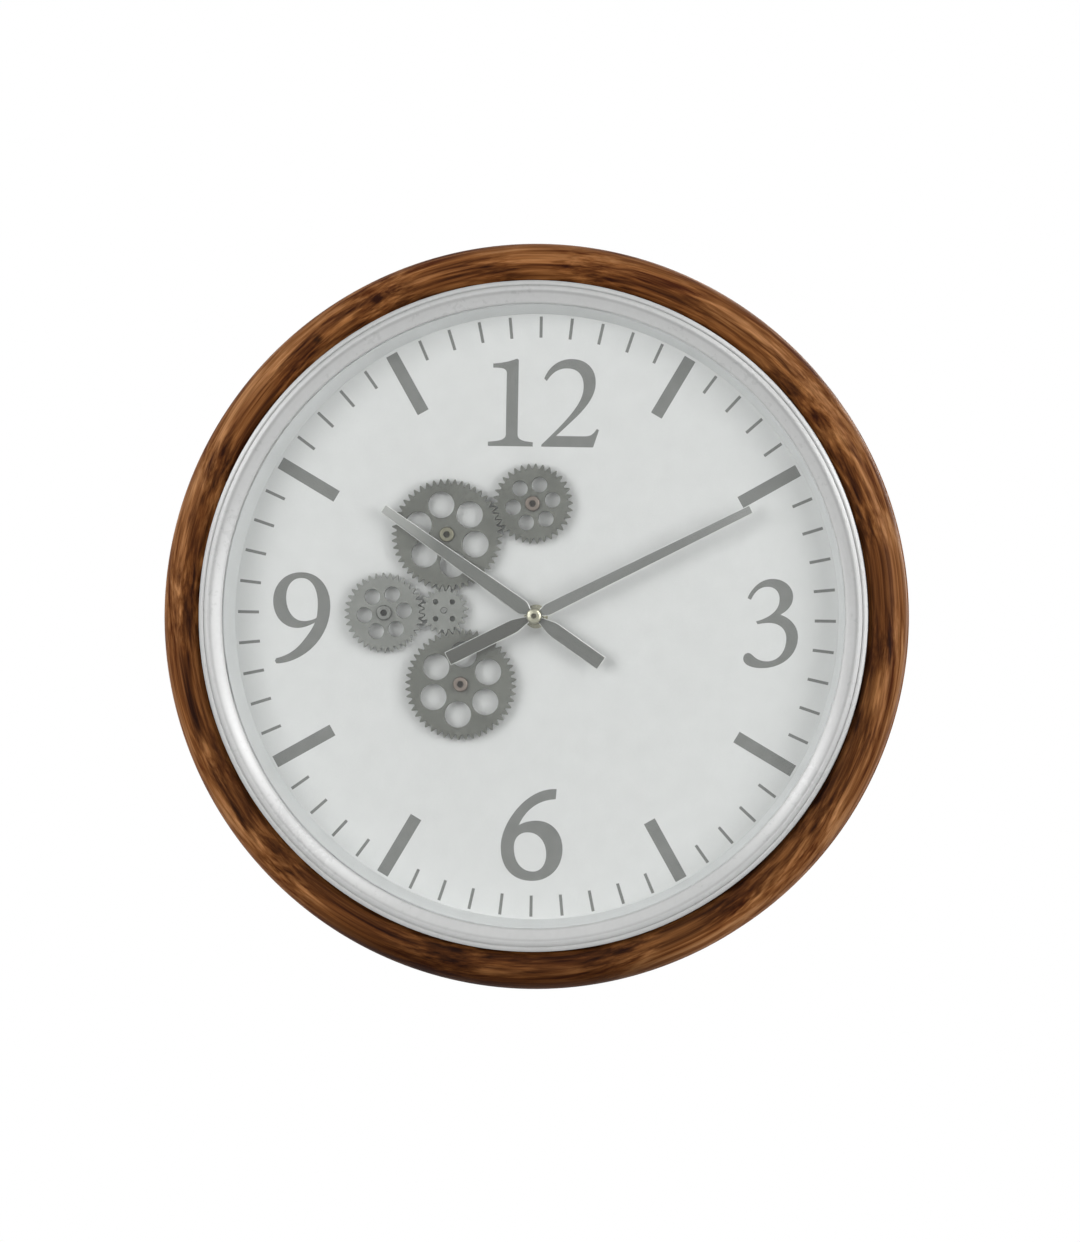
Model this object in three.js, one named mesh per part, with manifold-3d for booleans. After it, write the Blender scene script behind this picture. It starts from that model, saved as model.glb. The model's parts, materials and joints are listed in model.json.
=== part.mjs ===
// A round wall clock with a turned wooden rim, a white stepped bezel and a glazed dial that carries
// an open train of five meshing gears beside the hands. Millimetres, +Z up, front towards -Y.
// The origin is on the wall plane, at the centre of the keyhole slot's round upper end.
import * as THREE from 'three';
import { mergeVertices } from 'three/addons/utils/BufferGeometryUtils.js';
import Module from 'manifold-3d';

const wasm = await Module();
wasm.setup();

// Wooden rim
const RIM_OUTER_RADIUS = 250;
const RIM_FACE_WIDTH = 24.8;
const RIM_LEDGE = 6.2;
const RIM_LIP = 4.5;
const RIM_CROWN_INSET = 13;
const RIM_OUTER_ROUND = 16;
const RIM_INNER_DROP = 5;
const RIM_REAR_LEDGE = 19;
const RIM_REAR_CHAMFER = 1.5;

// Spun sheet drum and flat back plate
const SHEET = 1.2;
const DRUM_CLEARANCE = 0.5;
const DRUM_FLANGE_GAP = 0.8;
const DRUM_FLANGE_DROP = 3;
const DIAL_LEDGE = 11.5;
const PLATE_THICKNESS = 1.5;
const WALL_GAP = 1.3;
const PLATE_CLEARANCE = 0.6;
const WINDOW_MARGIN = 3;
const WINDOW_CORNER = 4;

// Bezel, glass and the ring between glass and dial
const BEZEL_GAP = 0.6;
const BEZEL_SKIN = 1.6;
const BEZEL_HEIGHT = 6;
const OUTER_BEAD_WIDTH = 3.5;
const OUTER_BEAD_DROP = 2;
const INNER_BEAD_WIDTH = 3.9;
const BEAD_HEIGHT = 1.4;
const BEVEL_WIDTH = 6.4;
const BEZEL_LIP = 1.4;
const BEZEL_LIP_THICKNESS = 1.2;
const GLASS_THICKNESS = 3;
const GLASS_EDGE_GAP = 0.8;
const GLASS_HEADROOM = 3.5;
const GASKET_THICKNESS = 1;
const GASKET_INSET = 1.2;
const SPACER_INSET = 0.8;
const SPACER_SLOPE = 5.2;
const DIAL_THICKNESS = 2;
const DIAL_EDGE_GAP = 0.6;

// Hanging keyhole and its stiffening plate
const KEYHOLE_ENTRY_RADIUS = 5.5;
const KEYHOLE_SLOT_RADIUS = 2.75;
const KEYHOLE_TRAVEL = 14;
const KEYHOLE_STEPS = 12;
const HANG_INSET = 13.8;
const HANGER_WIDTH = 64;
const HANGER_MARGIN = 9;
const HANGER_THICKNESS = 2;
const HANGER_CORNER = 5;

// Fasteners at the back
const BACK_SCREW_COUNT = 6;
const SCREW_HEAD_RADIUS = 4;
const SCREW_FACE_RADIUS = 2.8;
const SCREW_HEAD_HEIGHT = 1.8;
const SCREW_SHANK_RADIUS = 1.9;
const SCREW_BITE = 14;
const SCREW_POINT = 3.8;
const RIVET_HEAD_RADIUS = 3.2;
const RIVET_FACE_RADIUS = 1.9;
const RIVET_TAIL_RADIUS = 2.6;
const RIVET_HEAD_HEIGHT = 1.2;
const RIVET_SHANK_RADIUS = 1.5;
const RIVET_EDGE = 10;
const HOLE_CLEARANCE = 0.15;

// Quartz movement
const MOVEMENT_WALL = 2.35;
const MOVEMENT_FLOOR = 1;
const MOVEMENT_CORNER = 5;
const MOVEMENT_BORE_DEPTH = 7;
const CELL_RADIUS = 7.2;
const CELL_LENGTH = 50.5;
const CELL_NUB_RADIUS = 2.7;
const CELL_NUB_LENGTH = 1.2;
const CELL_CLEARANCE = 0.4;
const RUBBER_THICKNESS = 1;
const RUBBER_RADIUS = 11;
const BUSH_RADIUS = 4.6;
const BUSH_PROUD = 2.6;
const WASHER_RADIUS = 8;
const WASHER_THICKNESS = 0.8;
const BUSH_NUT_FLATS = 13;
const BUSH_NUT_HEIGHT = 2.6;
const KNOB_RADIUS = 7;
const KNOB_HEIGHT = 3.5;
const KNOB_GAP = 0.6;
const KNOB_STEM_RADIUS = 1.5;
const KNOB_STEM_SEAT = 4;
const KNOB_FLUTES = 14;
const KNOB_FLUTE_DEPTH = 0.5;
const KNOB_RIGHT = 13;
const KNOB_UP = 13;
const KNOB_CLEARANCE = 0.7;

// Hands, with the time that they show
const ARBOR_RADIUS = 1.6;
const TUBE_WALL = 1;
const RUNNING_GAP = 0.15;
const SHOULDER_GAP = 0.9;
const HAND_THICKNESS = 1;
const HAND_CLEARANCE = 1;
const HAND_SPACING = 2.6;
const HAND_HUB_RADIUS = 5;
const HAND_NECK_WIDTH = 4.2;
const COLLET_RADIUS = 4.6;
const COLLET_HEIGHT = 2;
const NUT_RADIUS = 5.2;
const NUT_HEIGHT = 3.4;
const ARBOR_RECESS = 1.6;
const SHOWN_HOURS = 10;
const SHOWN_MINUTES = 10.48;
const HAND_SHOULDER = 9.5;
const TAIL_SHOULDER = 14.6;
const HOUR_HAND = { length: 125.5, tail: 55, root: 10.4, tip: 6.4, tailWidth: 10.1 };
const MINUTE_HAND = { length: 162.5, tail: 65, root: 8.4, tip: 5.8, tailWidth: 9.7 };

// Gear train: one tooth module for all wheels, bearings clockwise from twelve o'clock
const MODULE = 1.5;
const PRESSURE_ANGLE = 25;
const TOOTH_ADDENDUM = 1;
const TOOTH_DEDENDUM = 1.25;
const BACKLASH = 0.3;
const FLANK_STEPS = 1;
const GEAR_LIFT = 3.5;
const GEAR_THICKNESS = 3.5;
const END_PLAY = 0.3;
const WHEEL_RIM = 4.95;
const WHEEL_HOLES = 6;
const LARGE_TEETH = 48;
const LARGE_HUB_RADIUS = 11.4;
const SMALL_TEETH = 34;
const SMALL_HUB_RADIUS = 8.2;
const PINION_TEETH = 20;
const PINION_RIM = 3.3;
const PINION_HUB_RADIUS = 6.2;
const PINION_HOLES = 4;
const PINION_RIGHT = -61.6;
const PINION_UP = 3;
const PINION_HOLE_BEARING = 44;
const UPPER_BEARING = 1.2;
const UPPER_HOLE_BEARING = 47.9;
const TOP_BEARING = 69.4;
const TOP_HOLE_BEARING = 18.4;
const LEFT_BEARING = 266.8;
const LEFT_HOLE_BEARING = 22.6;
const LOWER_BEARING = 166.3;
const LOWER_HOLE_BEARING = 4.5;

// Gear posts, riveted in the dial, and the socket screws that keep the gears on them
const POST_RADIUS = 2.95;
const POST_FLANGE_RADIUS = 5.6;
const POST_TENON_RADIUS = 2.2;
const POST_RIVET_RADIUS = 3.6;
const POST_RIVET_HEIGHT = 0.8;
const POST_TAP_DEPTH = 6;
const GEAR_SCREW_HEAD_RADIUS = 5.2;
const GEAR_SCREW_FACE_RADIUS = 4;
const GEAR_SCREW_HEAD_HEIGHT = 2.2;
const GEAR_SCREW_SIDE = 1.1;
const GEAR_SCREW_SHANK_RADIUS = 1.45;
const SOCKET_RADIUS = 2.5;
const SOCKET_DEPTH = 1.4;

// Battery drive of the gear train
const DRIVE_GAP = 9.6;
const DRIVE_SIDE_WALL = 5.35;
const DRIVE_WALL = 2.4;
const DRIVE_FLOOR = 3.4;
const DRIVE_CORNER = 5;
const DRIVE_TOP_REACH = 22;
const DRIVE_SHAFT_DROP = 11.2;
const DRIVE_CLEARANCE = 1;
const DRIVE_CELLS = 2;
const PAD_RIVET_GAP = 0.4;
const PAD_INSET = 4;
const PAD_RELIEF = 0.6;
const SHAFT_RADIUS = 2;
const SHAFT_SEAT = 12;
const SHAFT_CLEARANCE = 0.6;
const SHAFT_PROUD = 0.5;
const PINION_COLLAR_RADIUS = 5.2;
const PINION_COLLAR_GAP = 0.8;

// Fineness of the round forms
const RING_SIDES = 44;
const SMALL_SIDES = 12;
const SCREW_SIDES = 8;
const HOLE_SIDES = 10;
const ARC_STEPS = 2;
const CROWN_STEPS = 4;
const BEAD_STEPS = 3;

// How far a cutter reaches past the face that it opens, and how near two corners are the same one
const CUT_PAST = 1;
const SAME_CORNER = 1e-3;

// Radii, worked inwards from the rim
const seatRadius = RIM_OUTER_RADIUS - RIM_FACE_WIDTH;
const boreRadius = seatRadius - RIM_LEDGE;
const rearSeatRadius = boreRadius + RIM_REAR_LEDGE;
const drumRadius = boreRadius - DRUM_CLEARANCE;
const drumInside = drumRadius - SHEET;
const drumRearInside = drumInside - DIAL_LEDGE;
const bezelRadius = seatRadius - BEZEL_GAP;
const outerGroove = bezelRadius - OUTER_BEAD_WIDTH;
const innerGroove = outerGroove - INNER_BEAD_WIDTH;
const lipEdge = innerGroove - BEVEL_WIDTH;
const lipRadius = lipEdge - BEZEL_LIP;
const glassRadius = bezelRadius - BEZEL_SKIN - GLASS_EDGE_GAP;
const spacerFrontRadius = lipRadius - SPACER_INSET;
const dialRadius = drumInside - DIAL_EDGE_GAP;
const hangHeight = drumRearInside - HANG_INSET;

// Depths, worked forwards from the wall
const hangerBack = WALL_GAP + RIVET_HEAD_HEIGHT;
const plateBack = hangerBack + HANGER_THICKNESS;
const plateFront = plateBack + PLATE_THICKNESS;
const cellDepth = CELL_RADIUS + CELL_CLEARANCE;
const movementDepth = 2 * cellDepth + MOVEMENT_FLOOR;
const movementStack = RUBBER_THICKNESS + movementDepth + KNOB_GAP + KNOB_HEIGHT + KNOB_CLEARANCE;
const driveDepth = 2 * cellDepth + DRIVE_FLOOR;
const padThickness = POST_RIVET_HEIGHT + PAD_RIVET_GAP;
const driveStack = padThickness + driveDepth + DRIVE_CLEARANCE;
const dialBack = plateFront + Math.max(movementStack, driveStack);
const dialFront = dialBack + DIAL_THICKNESS;
const gearBack = dialFront + GEAR_LIFT;
const gearFront = gearBack + GEAR_THICKNESS;
const postFront = gearFront + END_PLAY;
const gearScrewFront = postFront + GEAR_SCREW_HEAD_HEIGHT;
const washerFront = dialFront + WASHER_THICKNESS;
const bushNutFront = washerFront + BUSH_NUT_HEIGHT;
const bushFront = bushNutFront + BUSH_PROUD;
const hourBack = Math.max(gearScrewFront, bushFront + COLLET_HEIGHT) + HAND_CLEARANCE;
const hourFront = hourBack + HAND_THICKNESS;
const minuteBack = hourFront + HAND_SPACING;
const minuteFront = minuteBack + HAND_THICKNESS;
const nutFront = minuteFront + NUT_HEIGHT;
const glassBack = nutFront + GLASS_HEADROOM;
const glassFront = glassBack + GLASS_THICKNESS;
const bezelSeat = glassFront + GASKET_THICKNESS;
const bezelFront = bezelSeat + BEZEL_HEIGHT;
const flangeFront = glassBack - DRUM_FLANGE_DROP;
const flangeBack = flangeFront - SHEET;

const finishes = {
  wood: new THREE.MeshStandardMaterial({ color: 0x6f4326, roughness: 0.55 }),
  whitePaint: new THREE.MeshStandardMaterial({ color: 0xdcdcda, roughness: 0.35 }),
  dialPaint: new THREE.MeshStandardMaterial({ color: 0xd8dad9, roughness: 0.6 }),
  coatedSheet: new THREE.MeshStandardMaterial({ color: 0x2b2c2d, roughness: 0.5, metalness: 0.3 }),
  zinc: new THREE.MeshStandardMaterial({ color: 0xb4b6b8, roughness: 0.35, metalness: 0.9 }),
  brass: new THREE.MeshStandardMaterial({ color: 0xb08d57, roughness: 0.3, metalness: 1 }),
  copper: new THREE.MeshStandardMaterial({ color: 0x8d6650, roughness: 0.4, metalness: 0.9 }),
  gunmetal: new THREE.MeshStandardMaterial({ color: 0x6d706b, roughness: 0.45, metalness: 0.6 }),
  paleGear: new THREE.MeshStandardMaterial({ color: 0x8c8e8b, roughness: 0.5, metalness: 0.5 }),
  handGrey: new THREE.MeshStandardMaterial({ color: 0x7b7c79, roughness: 0.4, metalness: 0.5 }),
  blackPlastic: new THREE.MeshStandardMaterial({ color: 0x1b1b1c, roughness: 0.6 }),
  rubber: new THREE.MeshStandardMaterial({ color: 0x151515, roughness: 0.85 }),
  cellJacket: new THREE.MeshStandardMaterial({ color: 0x44484c, roughness: 0.35, metalness: 0.3 }),
  glass: new THREE.MeshStandardMaterial({ color: 0xf4f8f8, roughness: 0.03, opacity: 0.12, transparent: true }),
};

// In the clock's own group x is right, y is up and z comes out of the wall.
const clock = new THREE.Group();
clock.rotation.x = Math.PI / 2;
clock.position.z = -hangHeight;

function addPiece(name, geometry, material) {
  const mesh = new THREE.Mesh(geometry, material);
  mesh.name = name;
  clock.add(mesh);
  return mesh;
}

// A point at a bearing, clockwise from twelve o'clock.
function atBearing(centre, degrees, distance) {
  const turn = THREE.MathUtils.degToRad(degrees);
  return new THREE.Vector2(centre.x + distance * Math.sin(turn), centre.y + distance * Math.cos(turn));
}

// Points along an arc from one bearing to another, both ends among them.
function arcPoints(centre, radius, from, to, steps) {
  return Array.from({ length: steps + 1 }, (_, i) =>
    atBearing(centre, from + ((to - from) * i) / steps, radius));
}

// Corners of a round outline, anticlockwise as an extruded outline with holes needs them.
function roundPoints(centre, radius, sides) {
  return arcPoints(centre, radius, 0, -360, sides).slice(0, sides);
}

function roundHole(centre, radius, sides = HOLE_SIDES) {
  return new THREE.Path(roundPoints(centre, radius, sides));
}

// A solid of revolution about the z axis from [radius, depth] points, closed on itself or on the axis.
function turned(profile, sides) {
  const points = profile.map(([radius, depth]) => new THREE.Vector2(radius, depth));
  if (THREE.ShapeUtils.isClockWise(points)) points.reverse();
  const start = points.findIndex((point, i) => point.x === 0 && points.at(i - 1).x === 0);
  const closed = start < 0 ? [...points, points[0]] : [...points.slice(start), ...points.slice(0, start)];
  return new THREE.LatheGeometry(closed, sides).rotateX(Math.PI / 2);
}

function ring(inside, outside, back, front, sides) {
  return turned([[inside, back], [outside, back], [outside, front], [inside, front]], sides);
}

function disc(radius, back, front, sides) {
  return turned([[0, back], [radius, back], [radius, front], [0, front]], sides);
}

function extruded(shape, back, front) {
  const geometry = new THREE.ExtrudeGeometry(shape, {
    depth: front - back,
    bevelEnabled: false,
    curveSegments: ARC_STEPS,
  });
  return geometry.translate(0, 0, back);
}

function roundedRectangle(left, bottom, right, top, corner) {
  const shape = new THREE.Shape();
  shape.absarc(right - corner, top - corner, corner, 0, Math.PI / 2);
  shape.absarc(left + corner, top - corner, corner, Math.PI / 2, Math.PI);
  shape.absarc(left + corner, bottom + corner, corner, Math.PI, 1.5 * Math.PI);
  shape.absarc(right - corner, bottom + corner, corner, 1.5 * Math.PI, 2 * Math.PI);
  return shape.closePath();
}

// Points on a quarter of an ellipse in a turned profile, from one angle to another in degrees.
function ellipsePoints(radius, depth, reach, height, from, to, steps) {
  return Array.from({ length: steps + 1 }, (_, i) => {
    const angle = THREE.MathUtils.degToRad(from + ((to - from) * i) / steps);
    return [radius + reach * Math.cos(angle), depth + height * Math.sin(angle)];
  });
}

function toSolid(geometry) {
  const bare = geometry.clone();
  bare.deleteAttribute('normal');
  bare.deleteAttribute('uv');
  const merged = mergeVertices(bare, SAME_CORNER);
  const corners = merged.index.array;
  const faces = [];
  for (let i = 0; i < corners.length; i += 3) {
    const [a, b, c] = corners.slice(i, i + 3);
    if (a !== b && b !== c && c !== a) faces.push(a, b, c);
  }
  const vertProperties = new Float32Array(merged.attributes.position.array);
  return new wasm.Manifold(new wasm.Mesh({ numProp: 3, vertProperties, triVerts: new Uint32Array(faces) }));
}

function fromSolid(solid) {
  const mesh = solid.getMesh();
  const geometry = new THREE.BufferGeometry();
  geometry.setAttribute('position', new THREE.BufferAttribute(new Float32Array(mesh.vertProperties), 3));
  geometry.setIndex(new THREE.BufferAttribute(new Uint32Array(mesh.triVerts), 1));
  geometry.computeVertexNormals();
  return geometry;
}

function cutAway(geometry, cutters) {
  return fromSolid(cutters.reduce((solid, cutter) => solid.subtract(toSolid(cutter)), toSolid(geometry)));
}

const axis = new THREE.Vector2(0, 0);

// Wooden rim: a turned ring with a rounded front, a ledge for the drum and a rear rebate for the back plate.
const rimLip = flangeBack + RIM_LIP;
const rimCrown = rimLip + RIM_INNER_DROP;
const rimShoulder = rimCrown - RIM_OUTER_ROUND;
const rimCrownRadius = RIM_OUTER_RADIUS - RIM_CROWN_INSET;
const rimInnerReach = rimCrownRadius - seatRadius;
const rimProfile = [
  [boreRadius, plateFront],
  [rearSeatRadius, plateFront],
  [rearSeatRadius, 0],
  [RIM_OUTER_RADIUS - RIM_REAR_CHAMFER, 0],
  [RIM_OUTER_RADIUS, RIM_REAR_CHAMFER],
  ...ellipsePoints(rimCrownRadius, rimShoulder, RIM_CROWN_INSET, RIM_OUTER_ROUND, 0, 90, CROWN_STEPS),
  ...ellipsePoints(rimCrownRadius, rimLip, rimInnerReach, RIM_INNER_DROP, 90, 180, CROWN_STEPS).slice(1),
  [seatRadius, flangeBack],
  [boreRadius, flangeBack],
];
const screwHole = SCREW_SHANK_RADIUS + HOLE_CLEARANCE;
const backScrewCircle = (boreRadius + rearSeatRadius) / 2;
const backScrewPlaces = Array.from({ length: BACK_SCREW_COUNT }, (_, i) =>
  atBearing(axis, (360 * (i + 0.5)) / BACK_SCREW_COUNT, backScrewCircle));
const pilotHoles = backScrewPlaces.map((place) =>
  disc(screwHole, plateFront - CUT_PAST, plateFront + SCREW_BITE + CUT_PAST, SCREW_SIDES)
    .translate(place.x, place.y, 0));
addPiece('wood_rim', cutAway(turned(rimProfile, RING_SIDES), pilotHoles), finishes.wood);

// Drum: spun sheet aluminium, stepped to a ledge for the dial, with a flange that hangs on the rim's ledge.
const drumProfile = [
  [drumRearInside, plateFront],
  [drumRearInside + SHEET, plateFront],
  [drumRearInside + SHEET, dialBack - SHEET],
  [drumRadius, dialBack - SHEET],
  [drumRadius, flangeBack],
  [seatRadius - DRUM_FLANGE_GAP, flangeBack],
  [seatRadius - DRUM_FLANGE_GAP, flangeFront],
  [drumInside, flangeFront],
  [drumInside, dialBack],
  [drumRearInside, dialBack],
];
addPiece('case_drum', turned(drumProfile, RING_SIDES), finishes.coatedSheet);

// Bezel: spun metal with two rounded beads, a bevel down to the glass and a thin lip over its edge.
const bevelTop = bezelFront - BEAD_HEIGHT;
const outerBeadFoot = bezelFront - OUTER_BEAD_DROP - BEAD_HEIGHT;
const bead = (outside, foot, width) =>
  ellipsePoints(outside - width / 2, foot, width / 2, BEAD_HEIGHT, 0, 180, BEAD_STEPS);
const bezelProfile = [
  [bezelRadius - BEZEL_SKIN, flangeFront],
  [bezelRadius, flangeFront],
  ...bead(bezelRadius, outerBeadFoot, OUTER_BEAD_WIDTH),
  ...bead(outerGroove, bevelTop, INNER_BEAD_WIDTH),
  [lipEdge, bezelSeat + BEZEL_LIP_THICKNESS],
  [lipRadius, bezelSeat + BEZEL_LIP_THICKNESS / 2],
  [lipRadius, bezelSeat],
  [bezelRadius - BEZEL_SKIN, bezelSeat],
];
addPiece('bezel', turned(bezelProfile, RING_SIDES), finishes.whitePaint);

// Glass, the gasket that beds it under the bezel, and the sloping ring that keeps it off the dial.
addPiece('glass_lens', disc(glassRadius, glassBack, glassFront, RING_SIDES), finishes.glass);
addPiece(
  'glass_gasket',
  ring(lipRadius + GASKET_INSET, glassRadius, glassFront, bezelSeat, RING_SIDES),
  finishes.rubber,
);
const spacerProfile = [
  [spacerFrontRadius - SPACER_SLOPE, dialFront],
  [dialRadius, dialFront],
  [dialRadius, glassBack],
  [spacerFrontRadius, glassBack],
];
addPiece('dial_spacer', turned(spacerProfile, RING_SIDES), finishes.whitePaint);

// Gear places: each wheel is set from the one that it meshes with.
const pitchRadius = (teeth) => (MODULE * teeth) / 2;
const pinionPlace = new THREE.Vector2(PINION_RIGHT, PINION_UP);
const meshedPlace = (place, teeth, bearing, otherTeeth) =>
  atBearing(place, bearing, pitchRadius(teeth) + pitchRadius(otherTeeth));
const upperPlace = meshedPlace(pinionPlace, PINION_TEETH, UPPER_BEARING, LARGE_TEETH);
const topPlace = meshedPlace(upperPlace, LARGE_TEETH, TOP_BEARING, SMALL_TEETH);
const leftPlace = meshedPlace(pinionPlace, PINION_TEETH, LEFT_BEARING, SMALL_TEETH);
const lowerPlace = meshedPlace(pinionPlace, PINION_TEETH, LOWER_BEARING, LARGE_TEETH);
const postPlaces = [upperPlace, topPlace, leftPlace, lowerPlace];

// Dial: a flat painted disc, pierced for the movement, the drive shaft and the gear posts.
const dialShape = new THREE.Shape(roundPoints(axis, dialRadius, RING_SIDES));
dialShape.holes.push(
  roundHole(axis, BUSH_RADIUS + HOLE_CLEARANCE, SMALL_SIDES),
  roundHole(pinionPlace, SHAFT_RADIUS + SHAFT_CLEARANCE),
  ...postPlaces.map((place) => roundHole(place, POST_TENON_RADIUS + HOLE_CLEARANCE)),
);
addPiece('dial', extruded(dialShape, dialBack, dialFront), finishes.dialPaint);

// Square movement case, as wide as its cell, with the cell's bay along its lower edge.
const cellPitch = 2 * cellDepth;
const bayHalfWidth = CELL_LENGTH / 2 + CELL_CLEARANCE;
const movementHalf = bayHalfWidth + MOVEMENT_WALL;
const movementFront = dialBack - RUBBER_THICKNESS;
const movementBack = movementFront - movementDepth;
const movementBay = {
  left: -bayHalfWidth,
  right: bayHalfWidth,
  bottom: MOVEMENT_WALL - movementHalf,
  top: MOVEMENT_WALL - movementHalf + cellPitch,
};

// Battery drive box: beside the movement, with its shaft on the pinion's axis and the cells below the shaft.
const driveRight = -movementHalf - DRIVE_GAP;
const bayCentre = driveRight - DRIVE_SIDE_WALL - bayHalfWidth;
const driveLeft = bayCentre - bayHalfWidth - DRIVE_SIDE_WALL;
const driveTop = PINION_UP + DRIVE_TOP_REACH;
const driveBayTop = PINION_UP - DRIVE_SHAFT_DROP;
const driveBay = {
  left: bayCentre - bayHalfWidth,
  right: bayCentre + bayHalfWidth,
  bottom: driveBayTop - DRIVE_CELLS * cellPitch,
  top: driveBayTop,
};
const driveBottom = driveBay.bottom - DRIVE_WALL;
const driveFront = dialBack - padThickness;
const driveBack = driveFront - driveDepth;

function bayCutter(bay, back) {
  const outline = roundedRectangle(bay.left, bay.bottom, bay.right, bay.top, CELL_CLEARANCE);
  return extruded(outline, back - CUT_PAST, back + 2 * cellDepth);
}

// Keyhole outline: a round entry for the screw head below a narrow slot for its shank.
const entryHeight = hangHeight - KEYHOLE_TRAVEL;
function keyholePath() {
  const slotEnd = new THREE.Vector2(0, hangHeight);
  const entry = new THREE.Vector2(0, entryHeight);
  const mouth = THREE.MathUtils.radToDeg(Math.asin(KEYHOLE_SLOT_RADIUS / KEYHOLE_ENTRY_RADIUS));
  return new THREE.Path([
    ...arcPoints(slotEnd, KEYHOLE_SLOT_RADIUS, 90, -90, KEYHOLE_STEPS / 2),
    ...arcPoints(entry, KEYHOLE_ENTRY_RADIUS, -mouth, mouth - 360, KEYHOLE_STEPS),
  ]);
}

// Back plate: flat sheet aluminium with windows to the two battery bays, the keyhole and its screw holes.
const rivetHeight = (hangHeight + entryHeight) / 2;
const rivetReach = HANGER_WIDTH / 2 - RIVET_EDGE;
const rivetPlaces = [-rivetReach, rivetReach].map((right) => new THREE.Vector2(right, rivetHeight));
const rivetHoles = () =>
  rivetPlaces.map((place) => roundHole(place, RIVET_SHANK_RADIUS + HOLE_CLEARANCE, SCREW_SIDES));
const movementWindow = movementHalf + WINDOW_MARGIN;
const plateShape = new THREE.Shape(roundPoints(axis, rearSeatRadius - PLATE_CLEARANCE, RING_SIDES));
plateShape.holes.push(
  roundedRectangle(-movementWindow, -movementWindow, movementWindow, movementWindow, WINDOW_CORNER),
  roundedRectangle(driveBay.left, driveBay.bottom, driveBay.right, driveBay.top, WINDOW_CORNER),
  keyholePath(),
  ...rivetHoles(),
  ...backScrewPlaces.map((place) => roundHole(place, screwHole, SCREW_SIDES)),
);
addPiece('back_plate', extruded(plateShape, plateBack, plateFront), finishes.coatedSheet);

const backScrewProfile = [
  [0, plateBack - SCREW_HEAD_HEIGHT],
  [SCREW_FACE_RADIUS, plateBack - SCREW_HEAD_HEIGHT],
  [SCREW_HEAD_RADIUS, plateBack - SCREW_HEAD_HEIGHT / 2],
  [SCREW_HEAD_RADIUS, plateBack],
  [SCREW_SHANK_RADIUS, plateBack],
  [SCREW_SHANK_RADIUS, plateFront + SCREW_BITE - SCREW_POINT],
  [0, plateFront + SCREW_BITE],
];
backScrewPlaces.forEach((place, i) => {
  const screw = turned(backScrewProfile, SCREW_SIDES).translate(place.x, place.y, 0);
  addPiece(`back_screw_${i + 1}`, screw, finishes.zinc);
});

// Hanger: a stiffening plate with the same keyhole, held on the back plate by two rivets.
const hangerShape = roundedRectangle(
  -HANGER_WIDTH / 2,
  entryHeight - KEYHOLE_ENTRY_RADIUS - HANGER_MARGIN,
  HANGER_WIDTH / 2,
  hangHeight + KEYHOLE_SLOT_RADIUS + HANGER_MARGIN,
  HANGER_CORNER,
);
hangerShape.holes.push(keyholePath(), ...rivetHoles());
addPiece('hanger_plate', extruded(hangerShape, hangerBack, plateBack), finishes.zinc);

const rivetProfile = [
  [0, hangerBack - RIVET_HEAD_HEIGHT],
  [RIVET_FACE_RADIUS, hangerBack - RIVET_HEAD_HEIGHT],
  [RIVET_HEAD_RADIUS, hangerBack],
  [RIVET_SHANK_RADIUS, hangerBack],
  [RIVET_SHANK_RADIUS, plateFront],
  [RIVET_TAIL_RADIUS, plateFront],
  [RIVET_TAIL_RADIUS, plateFront + RIVET_HEAD_HEIGHT],
  [0, plateFront + RIVET_HEAD_HEIGHT],
];
rivetPlaces.forEach((place, i) => {
  const rivet = turned(rivetProfile, SCREW_SIDES).translate(place.x, place.y, 0);
  addPiece(i === 0 ? 'hanger_rivet_left' : 'hanger_rivet_right', rivet, finishes.zinc);
});

// Movement case: a moulded box with an open cell bay, a bore for the bush and a seat for the knob's stem.
const movementOutline = roundedRectangle(
  -movementHalf, -movementHalf, movementHalf, movementHalf, MOVEMENT_CORNER);
const boreBack = movementFront - MOVEMENT_BORE_DEPTH;
const bushHole = BUSH_RADIUS + HOLE_CLEARANCE;
const stemEnd = movementBack + KNOB_STEM_SEAT;
const stemHole = KNOB_STEM_RADIUS + HOLE_CLEARANCE;
const movementCase = cutAway(extruded(movementOutline, movementBack, movementFront), [
  bayCutter(movementBay, movementBack),
  disc(bushHole, boreBack, movementFront + CUT_PAST, SMALL_SIDES),
  disc(stemHole, movementBack - CUT_PAST, stemEnd + RUNNING_GAP, SCREW_SIDES)
    .translate(KNOB_RIGHT, KNOB_UP, 0),
]);
addPiece('movement_case', movementCase, finishes.blackPlastic);

// A round battery cell lying along x, with its contact nub at the right.
function cell(left, up, depth) {
  const shoulder = CELL_LENGTH - CELL_NUB_LENGTH;
  const profile = [
    [0, 0],
    [CELL_RADIUS, 0],
    [CELL_RADIUS, shoulder],
    [CELL_NUB_RADIUS, shoulder],
    [CELL_NUB_RADIUS, CELL_LENGTH],
    [0, CELL_LENGTH],
  ];
  return turned(profile, SMALL_SIDES).rotateY(Math.PI / 2).translate(left, up, depth);
}
const movementCellUp = (movementBay.bottom + movementBay.top) / 2;
const movementCell = cell(-CELL_LENGTH / 2, movementCellUp, movementBack + cellDepth);
addPiece('movement_cell', movementCell, finishes.cellJacket);

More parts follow.
